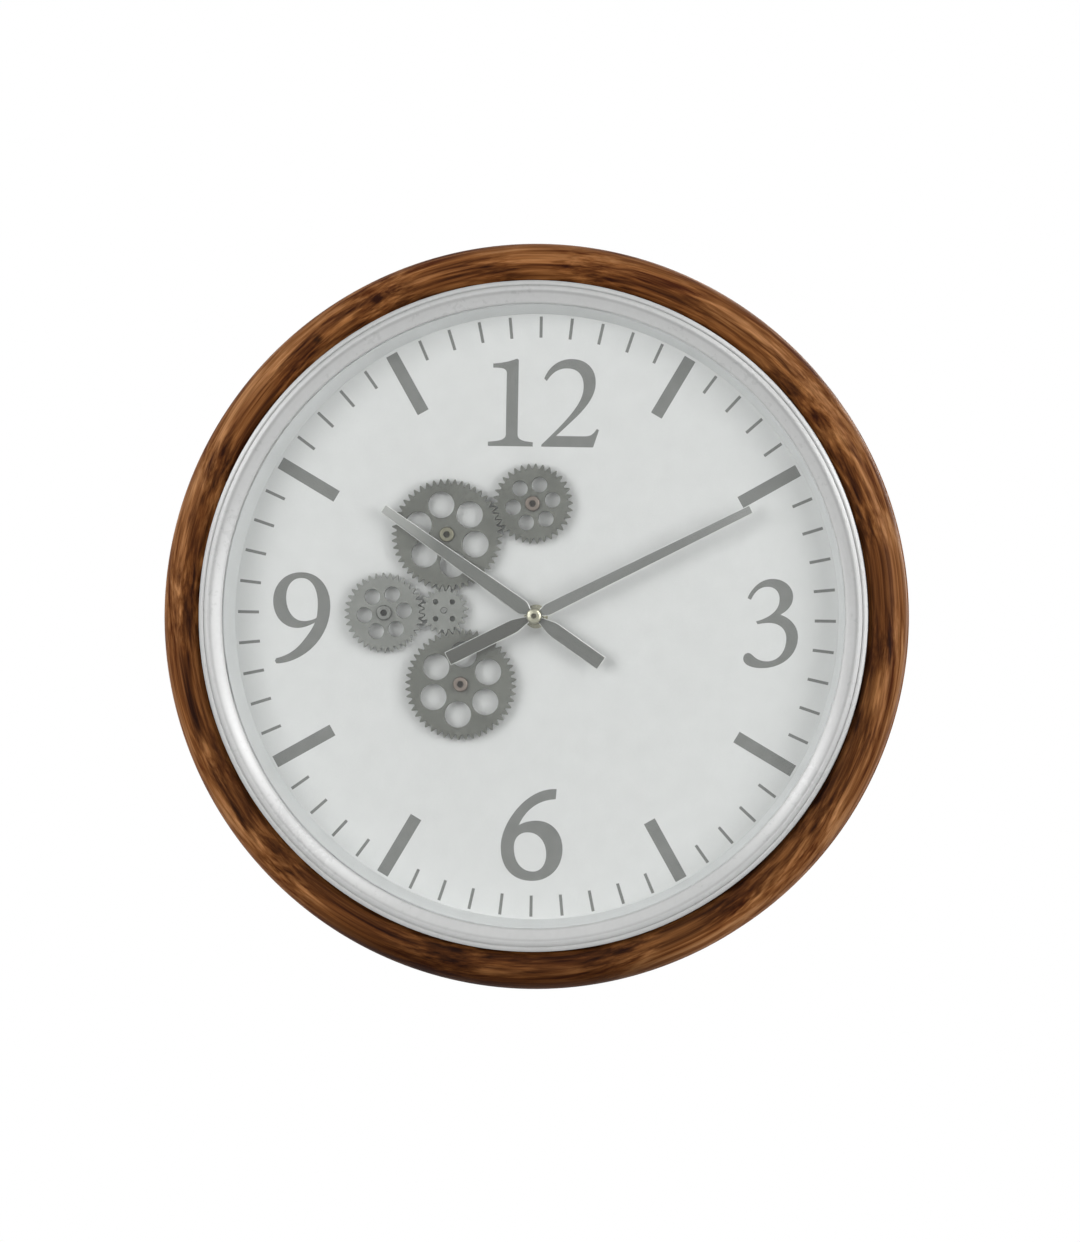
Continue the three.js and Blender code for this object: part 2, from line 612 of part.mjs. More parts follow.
// Setting knob: a fluted disc on a short stem at the movement's back.
const knobFront = movementBack - KNOB_GAP;
const knobBack = knobFront - KNOB_HEIGHT;
const flutePitch = 360 / KNOB_FLUTES;
const knobCorners = Array.from({ length: KNOB_FLUTES }, (_, i) => [
  ...arcPoints(axis, KNOB_RADIUS, i * flutePitch, (i + 0.25) * flutePitch, 1),
  ...arcPoints(axis, KNOB_RADIUS - KNOB_FLUTE_DEPTH, (i + 0.5) * flutePitch, (i + 0.75) * flutePitch, 1),
]);
const knobDisc = toSolid(extruded(new THREE.Shape(knobCorners.flat()), knobBack, knobFront));
const knobStem = toSolid(disc(KNOB_STEM_RADIUS, knobFront - CUT_PAST, stemEnd, SCREW_SIDES));
addPiece('time_set_knob', fromSolid(knobDisc.add(knobStem)), finishes.blackPlastic)
  .position.set(KNOB_RIGHT, KNOB_UP, 0);

// Threaded bush and what clamps it to the dial: rubber washer behind, brass washer and hex nut in front.
const tubeInside = ARBOR_RADIUS + RUNNING_GAP;
const tubeRadius = tubeInside + TUBE_WALL;
const bushInside = tubeRadius + RUNNING_GAP;
addPiece(
  'movement_bush',
  ring(bushInside, BUSH_RADIUS, boreBack + RUNNING_GAP, bushFront, SMALL_SIDES),
  finishes.brass,
);
addPiece(
  'rubber_washer',
  ring(bushHole, RUBBER_RADIUS, movementFront, dialBack, SMALL_SIDES),
  finishes.rubber,
);
addPiece('bush_washer', ring(bushHole, WASHER_RADIUS, dialFront, washerFront, SMALL_SIDES), finishes.brass);
const bushNutShape = new THREE.Shape(roundPoints(axis, BUSH_NUT_FLATS / Math.sqrt(3), 6));
bushNutShape.holes.push(roundHole(axis, bushHole, SMALL_SIDES));
addPiece('bush_nut', extruded(bushNutShape, washerFront, bushNutFront), finishes.brass);

// A hand along y: a hub, a blade that tapers to a square tip, and a broad tail drawn in to a narrow neck.
function handShape(hand, boreRadius) {
  const neck = HAND_NECK_WIDTH / 2;
  const hubTurn = Math.asin(neck / HAND_HUB_RADIUS);
  const shape = new THREE.Shape();
  shape.moveTo(hand.tip / 2, hand.length);
  shape.lineTo(-hand.tip / 2, hand.length);
  shape.lineTo(-hand.root / 2, HAND_SHOULDER);
  shape.absarc(0, 0, HAND_HUB_RADIUS, Math.PI / 2 + hubTurn, 1.5 * Math.PI - hubTurn);
  shape.lineTo(-hand.tailWidth / 2, -TAIL_SHOULDER);
  shape.lineTo(-hand.tailWidth / 2, -hand.tail);
  shape.lineTo(hand.tailWidth / 2, -hand.tail);
  shape.lineTo(hand.tailWidth / 2, -TAIL_SHOULDER);
  shape.absarc(0, 0, HAND_HUB_RADIUS, -Math.PI / 2 + hubTurn, Math.PI / 2 - hubTurn);
  shape.lineTo(hand.root / 2, HAND_SHOULDER);
  shape.holes.push(roundHole(axis, boreRadius, SMALL_SIDES));
  return shape.closePath();
}

// Hour hand on its tube, with the collet that grips the tube.
const tubeGrip = tubeRadius + HOLE_CLEARANCE;
const minuteTurn = THREE.MathUtils.degToRad(SHOWN_MINUTES * 6);
const hourTurn = THREE.MathUtils.degToRad((SHOWN_HOURS + SHOWN_MINUTES / 60) * 30);
const tubeBack = boreBack + 2 * RUNNING_GAP;
const colletBack = hourBack - COLLET_HEIGHT;
addPiece('hour_tube', ring(tubeInside, tubeRadius, tubeBack, hourFront, SMALL_SIDES), finishes.brass);
addPiece('hour_collet', ring(tubeGrip, COLLET_RADIUS, colletBack, hourBack, SMALL_SIDES), finishes.brass);
const hourBlade = extruded(handShape(HOUR_HAND, tubeGrip), hourBack, hourFront);
addPiece('hour_hand', hourBlade, finishes.handGrey).rotation.z = -hourTurn;

// Minute hand on the shoulder of its arbor, under an open brass nut.
const arborEnd = nutFront - ARBOR_RECESS;
const arborProfile = [
  [0, tubeBack],
  [ARBOR_RADIUS, tubeBack],
  [ARBOR_RADIUS, hourFront + SHOULDER_GAP],
  [tubeRadius, hourFront + SHOULDER_GAP],
  [tubeRadius, minuteBack],
  [ARBOR_RADIUS, minuteBack],
  [ARBOR_RADIUS, arborEnd],
  [0, arborEnd],
];
addPiece('minute_arbor', turned(arborProfile, SMALL_SIDES), finishes.brass);
const arborGrip = ARBOR_RADIUS + HOLE_CLEARANCE;
const minuteBlade = extruded(handShape(MINUTE_HAND, arborGrip), minuteBack, minuteFront);
addPiece('minute_hand', minuteBlade, finishes.handGrey).rotation.z = -minuteTurn;
const nutMiddle = minuteFront + NUT_HEIGHT / 2;
const nutProfile = [
  [arborGrip, minuteFront],
  [NUT_RADIUS, minuteFront],
  ...ellipsePoints(arborGrip, nutMiddle, NUT_RADIUS - arborGrip, NUT_HEIGHT / 2, 0, 90, BEAD_STEPS),
];
addPiece('hand_nut', turned(nutProfile, SMALL_SIDES), finishes.brass);

// One involute wheel about its own centre: teeth, lightening holes and bore, at their bearings.
function wheelGeometry({ teeth, toothBearing, holes, holeBearing, rim, hub, bore }) {
  const pitch = pitchRadius(teeth);
  const tip = pitch + TOOTH_ADDENDUM * MODULE;
  const root = pitch - TOOTH_DEDENDUM * MODULE;
  const base = pitch * Math.cos(THREE.MathUtils.degToRad(PRESSURE_ANGLE));
  const involute = (radius) => {
    const angle = Math.acos(Math.min(1, base / radius));
    return Math.tan(angle) - angle;
  };
  const thickness = (Math.PI * MODULE) / 2 - BACKLASH;
  const halfTooth = (radius) => {
    const turn = thickness / (2 * pitch) + involute(pitch) - involute(Math.max(radius, base));
    return THREE.MathUtils.radToDeg(turn);
  };
  const flankStep = (tip - root) / FLANK_STEPS;
  const radii = Array.from({ length: FLANK_STEPS + 1 }, (_, i) => root + flankStep * i);
  const outline = [];
  for (let tooth = 0; tooth < teeth; tooth++) {
    const middle = toothBearing + (360 * tooth) / teeth;
    radii.forEach((radius) => outline.push(atBearing(axis, middle - halfTooth(radius), radius)));
    radii.toReversed().forEach((radius) => outline.push(atBearing(axis, middle + halfTooth(radius), radius)));
  }
  const shape = new THREE.Shape(outline.reverse());
  const holeRadius = (root - rim - hub) / 2;
  for (let i = 0; i < holes; i++) {
    const place = atBearing(axis, holeBearing + (360 * i) / holes, hub + holeRadius);
    shape.holes.push(roundHole(place, holeRadius));
  }
  shape.holes.push(roundHole(axis, bore, SMALL_SIDES));
  return extruded(shape, gearBack, gearFront);
}

// The tooth bearing that puts a wheel's gap on a tooth of the wheel that it meshes with.
function meshedBearing(teeth, toothBearing, bearing, otherTeeth) {
  const share = (bearing - toothBearing) / (360 / teeth);
  return bearing + 180 - (0.5 - share) * (360 / otherTeeth);
}
const upperTooth = 0;
const pinionTooth = meshedBearing(LARGE_TEETH, upperTooth, UPPER_BEARING + 180, PINION_TEETH);
const topTooth = meshedBearing(LARGE_TEETH, upperTooth, TOP_BEARING, SMALL_TEETH);
const leftTooth = meshedBearing(PINION_TEETH, pinionTooth, LEFT_BEARING, SMALL_TEETH);
const lowerTooth = meshedBearing(PINION_TEETH, pinionTooth, LOWER_BEARING, LARGE_TEETH);

// Four wheels turn on posts riveted in the dial, each kept on its post by a socket screw.
const postBore = POST_RADIUS + HOLE_CLEARANCE;
const postWheel = { holes: WHEEL_HOLES, rim: WHEEL_RIM, bore: postBore };
const largeWheel = { ...postWheel, teeth: LARGE_TEETH, hub: LARGE_HUB_RADIUS };
const smallWheel = { ...postWheel, teeth: SMALL_TEETH, hub: SMALL_HUB_RADIUS };
const upperWheel = { ...largeWheel, toothBearing: upperTooth, holeBearing: UPPER_HOLE_BEARING };
const topWheel = { ...smallWheel, toothBearing: topTooth, holeBearing: TOP_HOLE_BEARING };
const leftWheel = { ...smallWheel, toothBearing: leftTooth, holeBearing: LEFT_HOLE_BEARING };
const lowerWheel = { ...largeWheel, toothBearing: lowerTooth, holeBearing: LOWER_HOLE_BEARING };
const { gunmetal, paleGear, brass, copper, zinc } = finishes;
const train = [
  { name: 'upper_gear', wheel: upperWheel, place: upperPlace, face: gunmetal, head: brass },
  { name: 'top_gear', wheel: topWheel, place: topPlace, face: gunmetal, head: copper },
  { name: 'left_gear', wheel: leftWheel, place: leftPlace, face: paleGear, head: zinc },
  { name: 'lower_gear', wheel: lowerWheel, place: lowerPlace, face: gunmetal, head: copper },
];
const tapRadius = GEAR_SCREW_SHANK_RADIUS + HOLE_CLEARANCE;
const postProfile = [
  [0, dialBack - POST_RIVET_HEIGHT],
  [POST_RIVET_RADIUS, dialBack - POST_RIVET_HEIGHT],
  [POST_RIVET_RADIUS, dialBack],
  [POST_TENON_RADIUS, dialBack],
  [POST_TENON_RADIUS, dialFront],
  [POST_FLANGE_RADIUS, dialFront],
  [POST_FLANGE_RADIUS, gearBack - END_PLAY / 2],
  [POST_RADIUS, gearBack - END_PLAY / 2],
  [POST_RADIUS, postFront],
  [tapRadius, postFront],
  [tapRadius, postFront - POST_TAP_DEPTH],
  [0, postFront - POST_TAP_DEPTH],
];
const gearScrewProfile = [
  [0, postFront - POST_TAP_DEPTH + HOLE_CLEARANCE],
  [GEAR_SCREW_SHANK_RADIUS, postFront - POST_TAP_DEPTH + HOLE_CLEARANCE],
  [GEAR_SCREW_SHANK_RADIUS, postFront],
  [GEAR_SCREW_HEAD_RADIUS, postFront],
  [GEAR_SCREW_HEAD_RADIUS, postFront + GEAR_SCREW_SIDE],
  [GEAR_SCREW_FACE_RADIUS, gearScrewFront],
  [0, gearScrewFront],
];
const socketOutline = new THREE.Shape(roundPoints(axis, SOCKET_RADIUS, 6));
const socket = extruded(socketOutline, gearScrewFront - SOCKET_DEPTH, gearScrewFront + CUT_PAST);
train.forEach(({ name, wheel, place, face, head }) => {
  const post = turned(postProfile, SMALL_SIDES);
  const screw = cutAway(turned(gearScrewProfile, SMALL_SIDES), [socket]);
  addPiece(name, wheelGeometry(wheel), face).position.set(place.x, place.y, 0);
  addPiece(`${name}_post`, post, zinc).position.set(place.x, place.y, 0);
  addPiece(`${name}_screw`, screw, head).position.set(place.x, place.y, 0);
});

// Drive pinion with a collar behind it, fast on the drive shaft.
const shaftGrip = SHAFT_RADIUS + HOLE_CLEARANCE;
const shaftBack = driveFront - SHAFT_SEAT;
const pinionWheel = wheelGeometry({
  teeth: PINION_TEETH,
  toothBearing: pinionTooth,
  holes: PINION_HOLES,
  holeBearing: PINION_HOLE_BEARING,
  rim: PINION_RIM,
  hub: PINION_HUB_RADIUS,
  bore: shaftGrip,
});
addPiece('drive_pinion', pinionWheel, paleGear).position.set(pinionPlace.x, pinionPlace.y, 0);
addPiece(
  'pinion_collar',
  ring(shaftGrip, PINION_COLLAR_RADIUS, dialFront + PINION_COLLAR_GAP, gearBack, SMALL_SIDES),
  zinc,
).position.set(pinionPlace.x, pinionPlace.y, 0);
addPiece(
  'drive_shaft',
  disc(SHAFT_RADIUS, shaftBack, gearFront + SHAFT_PROUD, SMALL_SIDES),
  zinc,
).position.set(pinionPlace.x, pinionPlace.y, 0);

// Drive box, the foam pad that bonds it to the dial, and its cells.
const driveOutline = roundedRectangle(driveLeft, driveBottom, driveRight, driveTop, DRIVE_CORNER);
const shaftBore = disc(shaftGrip, shaftBack - RUNNING_GAP, driveFront + CUT_PAST, SMALL_SIDES)
  .translate(pinionPlace.x, pinionPlace.y, 0);
addPiece(
  'drive_case',
  cutAway(extruded(driveOutline, driveBack, driveFront), [bayCutter(driveBay, driveBack), shaftBore]),
  finishes.blackPlastic,
);
const padOutline = roundedRectangle(
  driveLeft + PAD_INSET,
  driveBottom + PAD_INSET,
  driveRight - PAD_INSET,
  driveTop - PAD_INSET,
  DRIVE_CORNER,
);
const padRelief = (place, radius) =>
  disc(radius + PAD_RELIEF, driveFront - CUT_PAST, dialBack + CUT_PAST, SMALL_SIDES)
    .translate(place.x, place.y, 0);
addPiece(
  'drive_pad',
  cutAway(extruded(padOutline, driveFront, dialBack), [
    padRelief(pinionPlace, SHAFT_RADIUS),
    ...postPlaces.map((place) => padRelief(place, POST_RIVET_RADIUS)),
  ]),
  finishes.rubber,
);
for (let i = 0; i < DRIVE_CELLS; i++) {
  const up = driveBay.bottom + cellPitch * (i + 0.5);
  const driveCell = cell(bayCentre - CELL_LENGTH / 2, up, driveBack + cellDepth);
  addPiece(`drive_cell_${i + 1}`, driveCell, finishes.cellJacket);
}

export default clock;
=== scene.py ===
# Gear wall clock. Metres, front towards -Y, wall on the plane y = 0.
# Outlines are drawn as (right, up) from the hands' axis, and depths are counted from the wall.
import json
import math

import bmesh
import bpy
from mathutils import Matrix, Quaternion, Vector


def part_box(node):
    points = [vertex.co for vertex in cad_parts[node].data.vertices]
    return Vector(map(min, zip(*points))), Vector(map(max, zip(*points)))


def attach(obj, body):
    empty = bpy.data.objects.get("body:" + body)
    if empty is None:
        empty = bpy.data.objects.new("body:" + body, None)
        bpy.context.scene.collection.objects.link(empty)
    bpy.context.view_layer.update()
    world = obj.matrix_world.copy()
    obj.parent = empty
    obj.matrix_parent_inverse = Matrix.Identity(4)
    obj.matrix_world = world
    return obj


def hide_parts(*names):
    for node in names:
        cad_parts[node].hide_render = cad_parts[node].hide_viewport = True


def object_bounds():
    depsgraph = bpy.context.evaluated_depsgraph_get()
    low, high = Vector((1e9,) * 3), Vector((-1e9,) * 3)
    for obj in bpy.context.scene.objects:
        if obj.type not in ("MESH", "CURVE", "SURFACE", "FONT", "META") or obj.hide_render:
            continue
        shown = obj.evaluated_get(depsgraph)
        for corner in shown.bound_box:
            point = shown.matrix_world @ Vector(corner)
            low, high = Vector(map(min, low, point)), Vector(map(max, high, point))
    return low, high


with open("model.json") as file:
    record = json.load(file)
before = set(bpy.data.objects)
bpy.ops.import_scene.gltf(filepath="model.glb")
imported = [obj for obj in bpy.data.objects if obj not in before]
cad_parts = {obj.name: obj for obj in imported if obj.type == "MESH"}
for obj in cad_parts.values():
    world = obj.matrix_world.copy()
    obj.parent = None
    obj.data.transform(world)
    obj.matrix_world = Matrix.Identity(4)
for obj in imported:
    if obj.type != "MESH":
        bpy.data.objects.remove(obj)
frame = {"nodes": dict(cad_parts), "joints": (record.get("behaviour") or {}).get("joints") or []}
cad_low, cad_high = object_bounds()


# Wooden rim: a ring of stained hardwood, turned with a rounded front and varnished to a satin.
# It lies on the wall by its flat back, and the drum, the bezel and the back plate are fixed in it.
RIM_BORE = 0.219
RIM_REAR_SEAT = 0.238
RIM_REBATE = 0.006
RIM_LEDGE = 0.0478
RIM_SEAT = 0.2248
RIM_CROWN_INSET = 0.013
RIM_OUTER_ROUND = 0.016
RIM_INNER_DROP = 0.0035
RIM_BACK_EDGE = 0.0015
RIM_SIDES = 240
CROWN_STEPS = 20
EASE_STEPS = 4
REAR_SEAT_EASE = 0.0006
WELD_GAP = 1e-6
FLAT_TO_WALL = 0.9999
NOISE_LOW, NOISE_MIDDLE, NOISE_HIGH = 0.3, 0.5, 0.7
UNTINTED = (1, 1, 1)
WOOD_TONES = (0.415, (0.088, 0.0190, 0.0024)), (0.50, (0.268, 0.1050, 0.0335)), (0.59, (0.480, 0.231, 0.0970))
# Tints across the ring: darker and warmer at the bezel, and paler and greyer on the outer slope, where the
# paleness is a painted sheen of the varnish.
WOOD_SHEEN_RAMP_INNER, WOOD_SHEEN_RAMP_CROWN = (0.43, 0.36, 0.265), (0.82, 0.79, 0.73)
WOOD_LEAN, WOOD_SWIRL, WOOD_EDDIES = -11.0, 0.9, 8.0
# A layer of streaks has its cells a radian round the ring and a metre across it, its detail and distortion.
WOOD_LAYERS = {
    "cloud": (3.2, 45, 3, 0.8),
    "flame": (5.0, 150, 4, 0.6),
    "figure": (9.0, 330, 4, 0.4),
    "fibre": (26, 1400, 3, 0.0),
}
WOOD_MIX = {"cloud": 0.32, "flame": 0.36, "figure": 0.32}
FIBRE_SHADE, VEIN_SHADE = (0.36, 0.62, 0.80, 1.10), (0.80, 1.20, 0.52, 1.48)
CROWN_BAND_IN, CROWN_BAND_OUT, CROWN_WANDER = 0.001, 0.009, 0.016
# A darker patch has its bearing, the cosines between which it comes in, its strength and its fade across the
# ring; together they make the ring darker towards the bottom.
WOOD_DARKENINGS = (
    (186, (0.82, 0.95), 0.90, (0.0, 1.0, 0.55, 1.0)),
    (172, (-0.15, 0.25), 0.45, (0.0, 0.7, 1.0, 0.0)),
)
DARKENING_TINT = (0.156, 0.094, 0.011)
KNOT_BEARING, KNOT_RADIUS, KNOT_SIZE = -38.9, 0.2352, 0.0022
KNOT_FADE, KNOT_DARK = 2.6, 0.35
WOOD_GLOSS, WOOD_SPECULAR = (0.62, 0.46), 0.05
FIBRE_RELIEF, WOOD_RELIEF = 0.6, 0.0006
rim_low, rim_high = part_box("wood_rim")
rim_radius = (rim_high.x - rim_low.x) / 2
rim_crown = -rim_low.y
rim_crown_radius = rim_radius - RIM_CROWN_INSET
axis_up = (rim_low.z + rim_high.z) / 2


def ellipse_arc(across, up, reach, height, start, end, steps):
    """Points on an ellipse from one angle to another, in degrees."""
    turns = [math.radians(start + (end - start) * i / steps) for i in range(steps + 1)]
    return [(across + reach * math.cos(turn), up + height * math.sin(turn)) for turn in turns]


def eased(corners):
    """The outline through (across, up, ease) corners, each one rounded off by its own ease."""
    outline = []
    for i, (across, up, ease) in enumerate(corners):
        corner = Vector((across, up))
        before = Vector(corners[i - 1][:2]) - corner
        after = Vector(corners[(i + 1) % len(corners)][:2]) - corner
        if ease == 0:
            outline.append(corner)
            continue
        start = corner + before.normalized() * min(ease, before.length / 2)
        end = corner + after.normalized() * min(ease, after.length / 2)
        for step in range(EASE_STEPS + 1):
            t = step / EASE_STEPS
            outline.append(start * (1 - t) ** 2 + corner * 2 * t * (1 - t) + end * t ** 2)
    return outline


def crisp(mesh, degrees=32):
    """Merges doubles, turns faces outwards and smooths what is neither flat to the wall nor a sharp bend."""
    form = bmesh.new()
    form.from_mesh(mesh)
    bmesh.ops.remove_doubles(form, verts=form.verts, dist=WELD_GAP)
    bmesh.ops.delete(form, geom=[edge for edge in form.edges if edge.is_wire], context="EDGES")
    bmesh.ops.recalc_face_normals(form, faces=form.faces)
    for face in form.faces:
        face.smooth = abs(face.normal.y) < FLAT_TO_WALL
    for edge in form.edges:
        edge.smooth = edge.calc_face_angle(math.pi) < math.radians(degrees)
    form.to_mesh(mesh)
    form.free()
    return mesh


def turned(profile, sides, right=0.0, up=0.0):
    """A solid turned about an axis square to the wall, from a closed (radius, depth) profile."""
    corners = []
    for i in range(sides):
        turn = math.tau * i / sides
        for radius, depth in profile:
            place = (right + radius * math.sin(turn), -depth, axis_up + up + radius * math.cos(turn))
            corners.append(place)
    count = len(profile)
    faces = []
    for i in range(sides):
        here = i * count
        there = (i + 1) % sides * count
        for k in range(count):
            nxt = (k + 1) % count
            faces.append((here + k, here + nxt, there + nxt, there + k))
    mesh = bpy.data.meshes.new("turned")
    mesh.from_pydata(corners, [], faces)
    lathe = mesh.attributes.new("lathe", "FLOAT_VECTOR", "POINT")
    for i, (radius, depth) in enumerate(profile * sides):
        lathe.data[i].vector = (radius, depth, 0)
    return crisp(mesh)


def fit(name, mesh, finish, body, slot, *nodes):
    """Makes a mesh a piece of the clock: its finish, the body it moves with and the nodes it stands for."""
    piece = bpy.data.objects.new(name, mesh)
    bpy.context.collection.objects.link(piece)
    mesh.materials.clear()
    mesh.materials.append(finish)
    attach(piece, body)
    if nodes:
        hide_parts(*nodes)
    return piece


def wire(tree, kind, sockets=None, **settings):
    """Adds a node to a tree. A socket that is given another node's output is linked to it."""
    node = tree.nodes.new(kind)
    for name, value in settings.items():
        setattr(node, name, value)
    for key, value in (sockets or {}).items():
        if isinstance(value, bpy.types.NodeSocket):
            tree.links.new(value, node.inputs[key])
        else:
            node.inputs[key].default_value = value
    return node


def made(tree, kind, sockets=None, **settings):
    """The first output of a node that is added to a tree."""
    return wire(tree, kind, sockets, **settings).outputs[0]


def reckon(tree, operation, first, second=0.0):
    """One sum in a tree, as a node's output."""
    return made(tree, "ShaderNodeMath", {0: first, 1: second}, operation=operation)


def steer(tree, operation, first, second=(0, 0, 0)):
    """One sum of vectors in a tree, as a node."""
    return wire(tree, "ShaderNodeVectorMath", {0: first, 1: second}, operation=operation)


def shades(tree, factor, *stops):
    """A colour ramp through (position, colour) stops."""
    ramp = wire(tree, "ShaderNodeValToRGB", {0: factor})
    while len(ramp.color_ramp.elements) < len(stops):
        ramp.color_ramp.elements.new(0.5)
    for element, (position, colour) in zip(ramp.color_ramp.elements, stops):
        element.position = position
        element.color = (*colour, 1)
    return ramp.outputs[0]


def spread(tree, value, low, high, to_low, to_high):
    """Maps a value from one range to another, held at both ends."""
    sockets = {0: value, 1: low, 2: high, 3: to_low, 4: to_high}
    return made(tree, "ShaderNodeMapRange", sockets)


def scaled(tree, vector, factor):
    """A vector or a colour of a tree times a number."""
    return made(tree, "ShaderNodeVectorMath", {0: vector, "Scale": factor}, operation="SCALE")


def part(tree, vector, axis):
    """One of a vector's three numbers in a tree."""
    return wire(tree, "ShaderNodeSeparateXYZ", {0: vector}).outputs[axis]


def spot(tree):
    """The place on a piece that is being shaded, in metres."""
    return wire(tree, "ShaderNodeTexCoord").outputs["Object"]


def noise(tree, vector, scale, detail, **others):
    """A noise in a tree, with so many cells to a metre of its vector."""
    sockets = {"Vector": vector, "Scale": scale, "Detail": detail, **others}
    return made(tree, "ShaderNodeTexNoise", sockets)


def emboss(tree, shader, strength, distance, height):
    """Roughens a shader's surface by a height of its tree."""
    sockets = {"Strength": strength, "Distance": distance, "Height": height}
    tree.links.new(made(tree, "ShaderNodeBump", sockets), shader.inputs["Normal"])


def new_finish(name):
    """An empty material with its tree and its shader."""
    material = bpy.data.materials.new(name)
    material.use_nodes = True
    tree = material.node_tree
    return material, tree, tree.nodes["Principled BSDF"]


def stained_wood():
    """Wild-grained wood: streaks that lean across the ring, darker at the bezel and at the foot, paler and
    greyer on the outer slope as a painted sheen, with a knot.
    """
    material, tree, shader = new_finish("stained_wood")
    centred = made(tree, "ShaderNodeMapping", {0: spot(tree), 1: (0, 0, -axis_up)})
    across = steer(tree, "MULTIPLY", centred, (1, 0, 1)).outputs[0]
    radius = steer(tree, "LENGTH", across).outputs["Value"]
    bearing = steer(tree, "NORMALIZE", across).outputs[0]
    eddies = noise(tree, centred, WOOD_EDDIES, 1.0)
    lean = reckon(tree, "MULTIPLY", reckon(tree, "ADD", radius, part(tree, centred, "Y")), WOOD_LEAN)
    swirl = reckon(tree, "MULTIPLY", reckon(tree, "SUBTRACT", eddies, NOISE_MIDDLE), WOOD_SWIRL)
    sockets = {"Vector": bearing, "Angle": reckon(tree, "ADD", lean, swirl)}
    swung = made(tree, "ShaderNodeVectorRotate", sockets, rotation_type="Y_AXIS")
    layers = {}
    for name, (along, thin, detail, distortion) in WOOD_LAYERS.items():
        depth = steer(tree, "MULTIPLY", centred, (0, thin, 0)).outputs[0]
        vector = steer(tree, "ADD", scaled(tree, swung, along), depth).outputs[0]
        sockets = {"Vector": vector, "W": reckon(tree, "MULTIPLY", radius, thin), "Scale": 1.0}
        sockets.update({"Detail": detail, "Roughness": 0.6, "Distortion": distortion})
        layers[name] = made(tree, "ShaderNodeTexNoise", sockets, noise_dimensions="4D")
    mixed = 0.0
    for name, weight in WOOD_MIX.items():
        mixed = reckon(tree, "ADD", reckon(tree, "MULTIPLY", layers[name], weight), mixed)
    flame, figure, fibre = layers["flame"], layers["figure"], layers["fibre"]
    colour = shades(tree, mixed, *WOOD_TONES)
    shade = spread(tree, fibre, *FIBRE_SHADE)
    wander = reckon(tree, "MULTIPLY", reckon(tree, "SUBTRACT", flame, NOISE_MIDDLE), CROWN_WANDER)
    band = (rim_crown_radius - CROWN_BAND_IN, rim_crown_radius + CROWN_BAND_OUT)
    outer = spread(tree, reckon(tree, "ADD", radius, wander), *band, 0.0, 1.0)
    # Painted sheen: the outer slope stays paler and greyer than the side at the bezel.
    tint = shades(tree, outer, (0.0, WOOD_SHEEN_RAMP_INNER), (0.5, WOOD_SHEEN_RAMP_CROWN), (1.0, UNTINTED))
    colour = steer(tree, "MULTIPLY", colour, tint).outputs[0]
    vein = spread(tree, reckon(tree, "ADD", flame, figure), *VEIN_SHADE)
    shade = reckon(tree, "MULTIPLY", shade, spread(tree, outer, 0.0, 1.0, vein, 1.0))
    # The ring grows darker towards the bottom, at its foot and over the lower inner slope.
    darkening = 0.0
    for degrees, cosines, strength, fade in WOOD_DARKENINGS:
        aim = (math.sin(math.radians(degrees)), 0, math.cos(math.radians(degrees)))
        towards = steer(tree, "DOT_PRODUCT", bearing, aim).outputs["Value"]
        patch = spread(tree, towards, *cosines, 0.0, strength)
        patch = reckon(tree, "MULTIPLY", patch, spread(tree, outer, *fade))
        darkening = reckon(tree, "MAXIMUM", patch, darkening)
    tint = shades(tree, darkening, (0.0, UNTINTED), (1.0, DARKENING_TINT))
    colour = steer(tree, "MULTIPLY", colour, tint).outputs[0]
    turn = math.radians(KNOT_BEARING)
    knot = (KNOT_RADIUS * math.sin(turn), -rim_crown, KNOT_RADIUS * math.cos(turn))
    away = steer(tree, "DISTANCE", centred, knot).outputs["Value"]
    ragged = reckon(tree, "ADD", away, reckon(tree, "MULTIPLY", figure, KNOT_SIZE))
    ring = spread(tree, ragged, KNOT_SIZE, KNOT_FADE * KNOT_SIZE, KNOT_DARK, 1.0)
    shade = reckon(tree, "MULTIPLY", shade, ring)
    tree.links.new(scaled(tree, colour, shade), shader.inputs["Base Color"])
    tree.links.new(spread(tree, figure, NOISE_LOW, NOISE_HIGH, *WOOD_GLOSS), shader.inputs["Roughness"])
    relief = reckon(tree, "ADD", reckon(tree, "MULTIPLY", fibre, FIBRE_RELIEF), figure)
    emboss(tree, shader, strength=0.25, distance=WOOD_RELIEF, height=relief)
    shader.inputs["Specular IOR Level"].default_value = WOOD_SPECULAR
    return material


rim_profile = eased([
    (RIM_BORE, RIM_REBATE, 0),
    (RIM_REAR_SEAT, RIM_REBATE, 0),
    (RIM_REAR_SEAT, 0, REAR_SEAT_EASE),
    (rim_radius, 0, RIM_BACK_EDGE),
])
rim_profile += ellipse_arc(
    rim_crown_radius, rim_crown - RIM_OUTER_ROUND, RIM_CROWN_INSET, RIM_OUTER_ROUND, 0, 90, CROWN_STEPS)
inner_slope = ellipse_arc(
    rim_crown_radius, rim_crown - RIM_INNER_DROP, rim_crown_radius - RIM_SEAT, RIM_INNER_DROP, 90, 180,
    CROWN_STEPS)
rim_profile += inner_slope[1:]
rim_profile += [(RIM_SEAT, RIM_LEDGE), (RIM_BORE, RIM_LEDGE)]
fit("wood_rim_turned", turned(rim_profile, RIM_SIDES), stained_wood(),
    "clock_case", "stained_wood", "wood_rim")


# Drum: spun aluminium sheet under black powder coat. Its flange hangs on the rim's ledge and its
# step carries the dial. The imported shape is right, so it only gets its coat.
TONE_LOW, TONE_HIGH = 0.35, 0.65
GRAINS_TO_A_CLOUD = 12


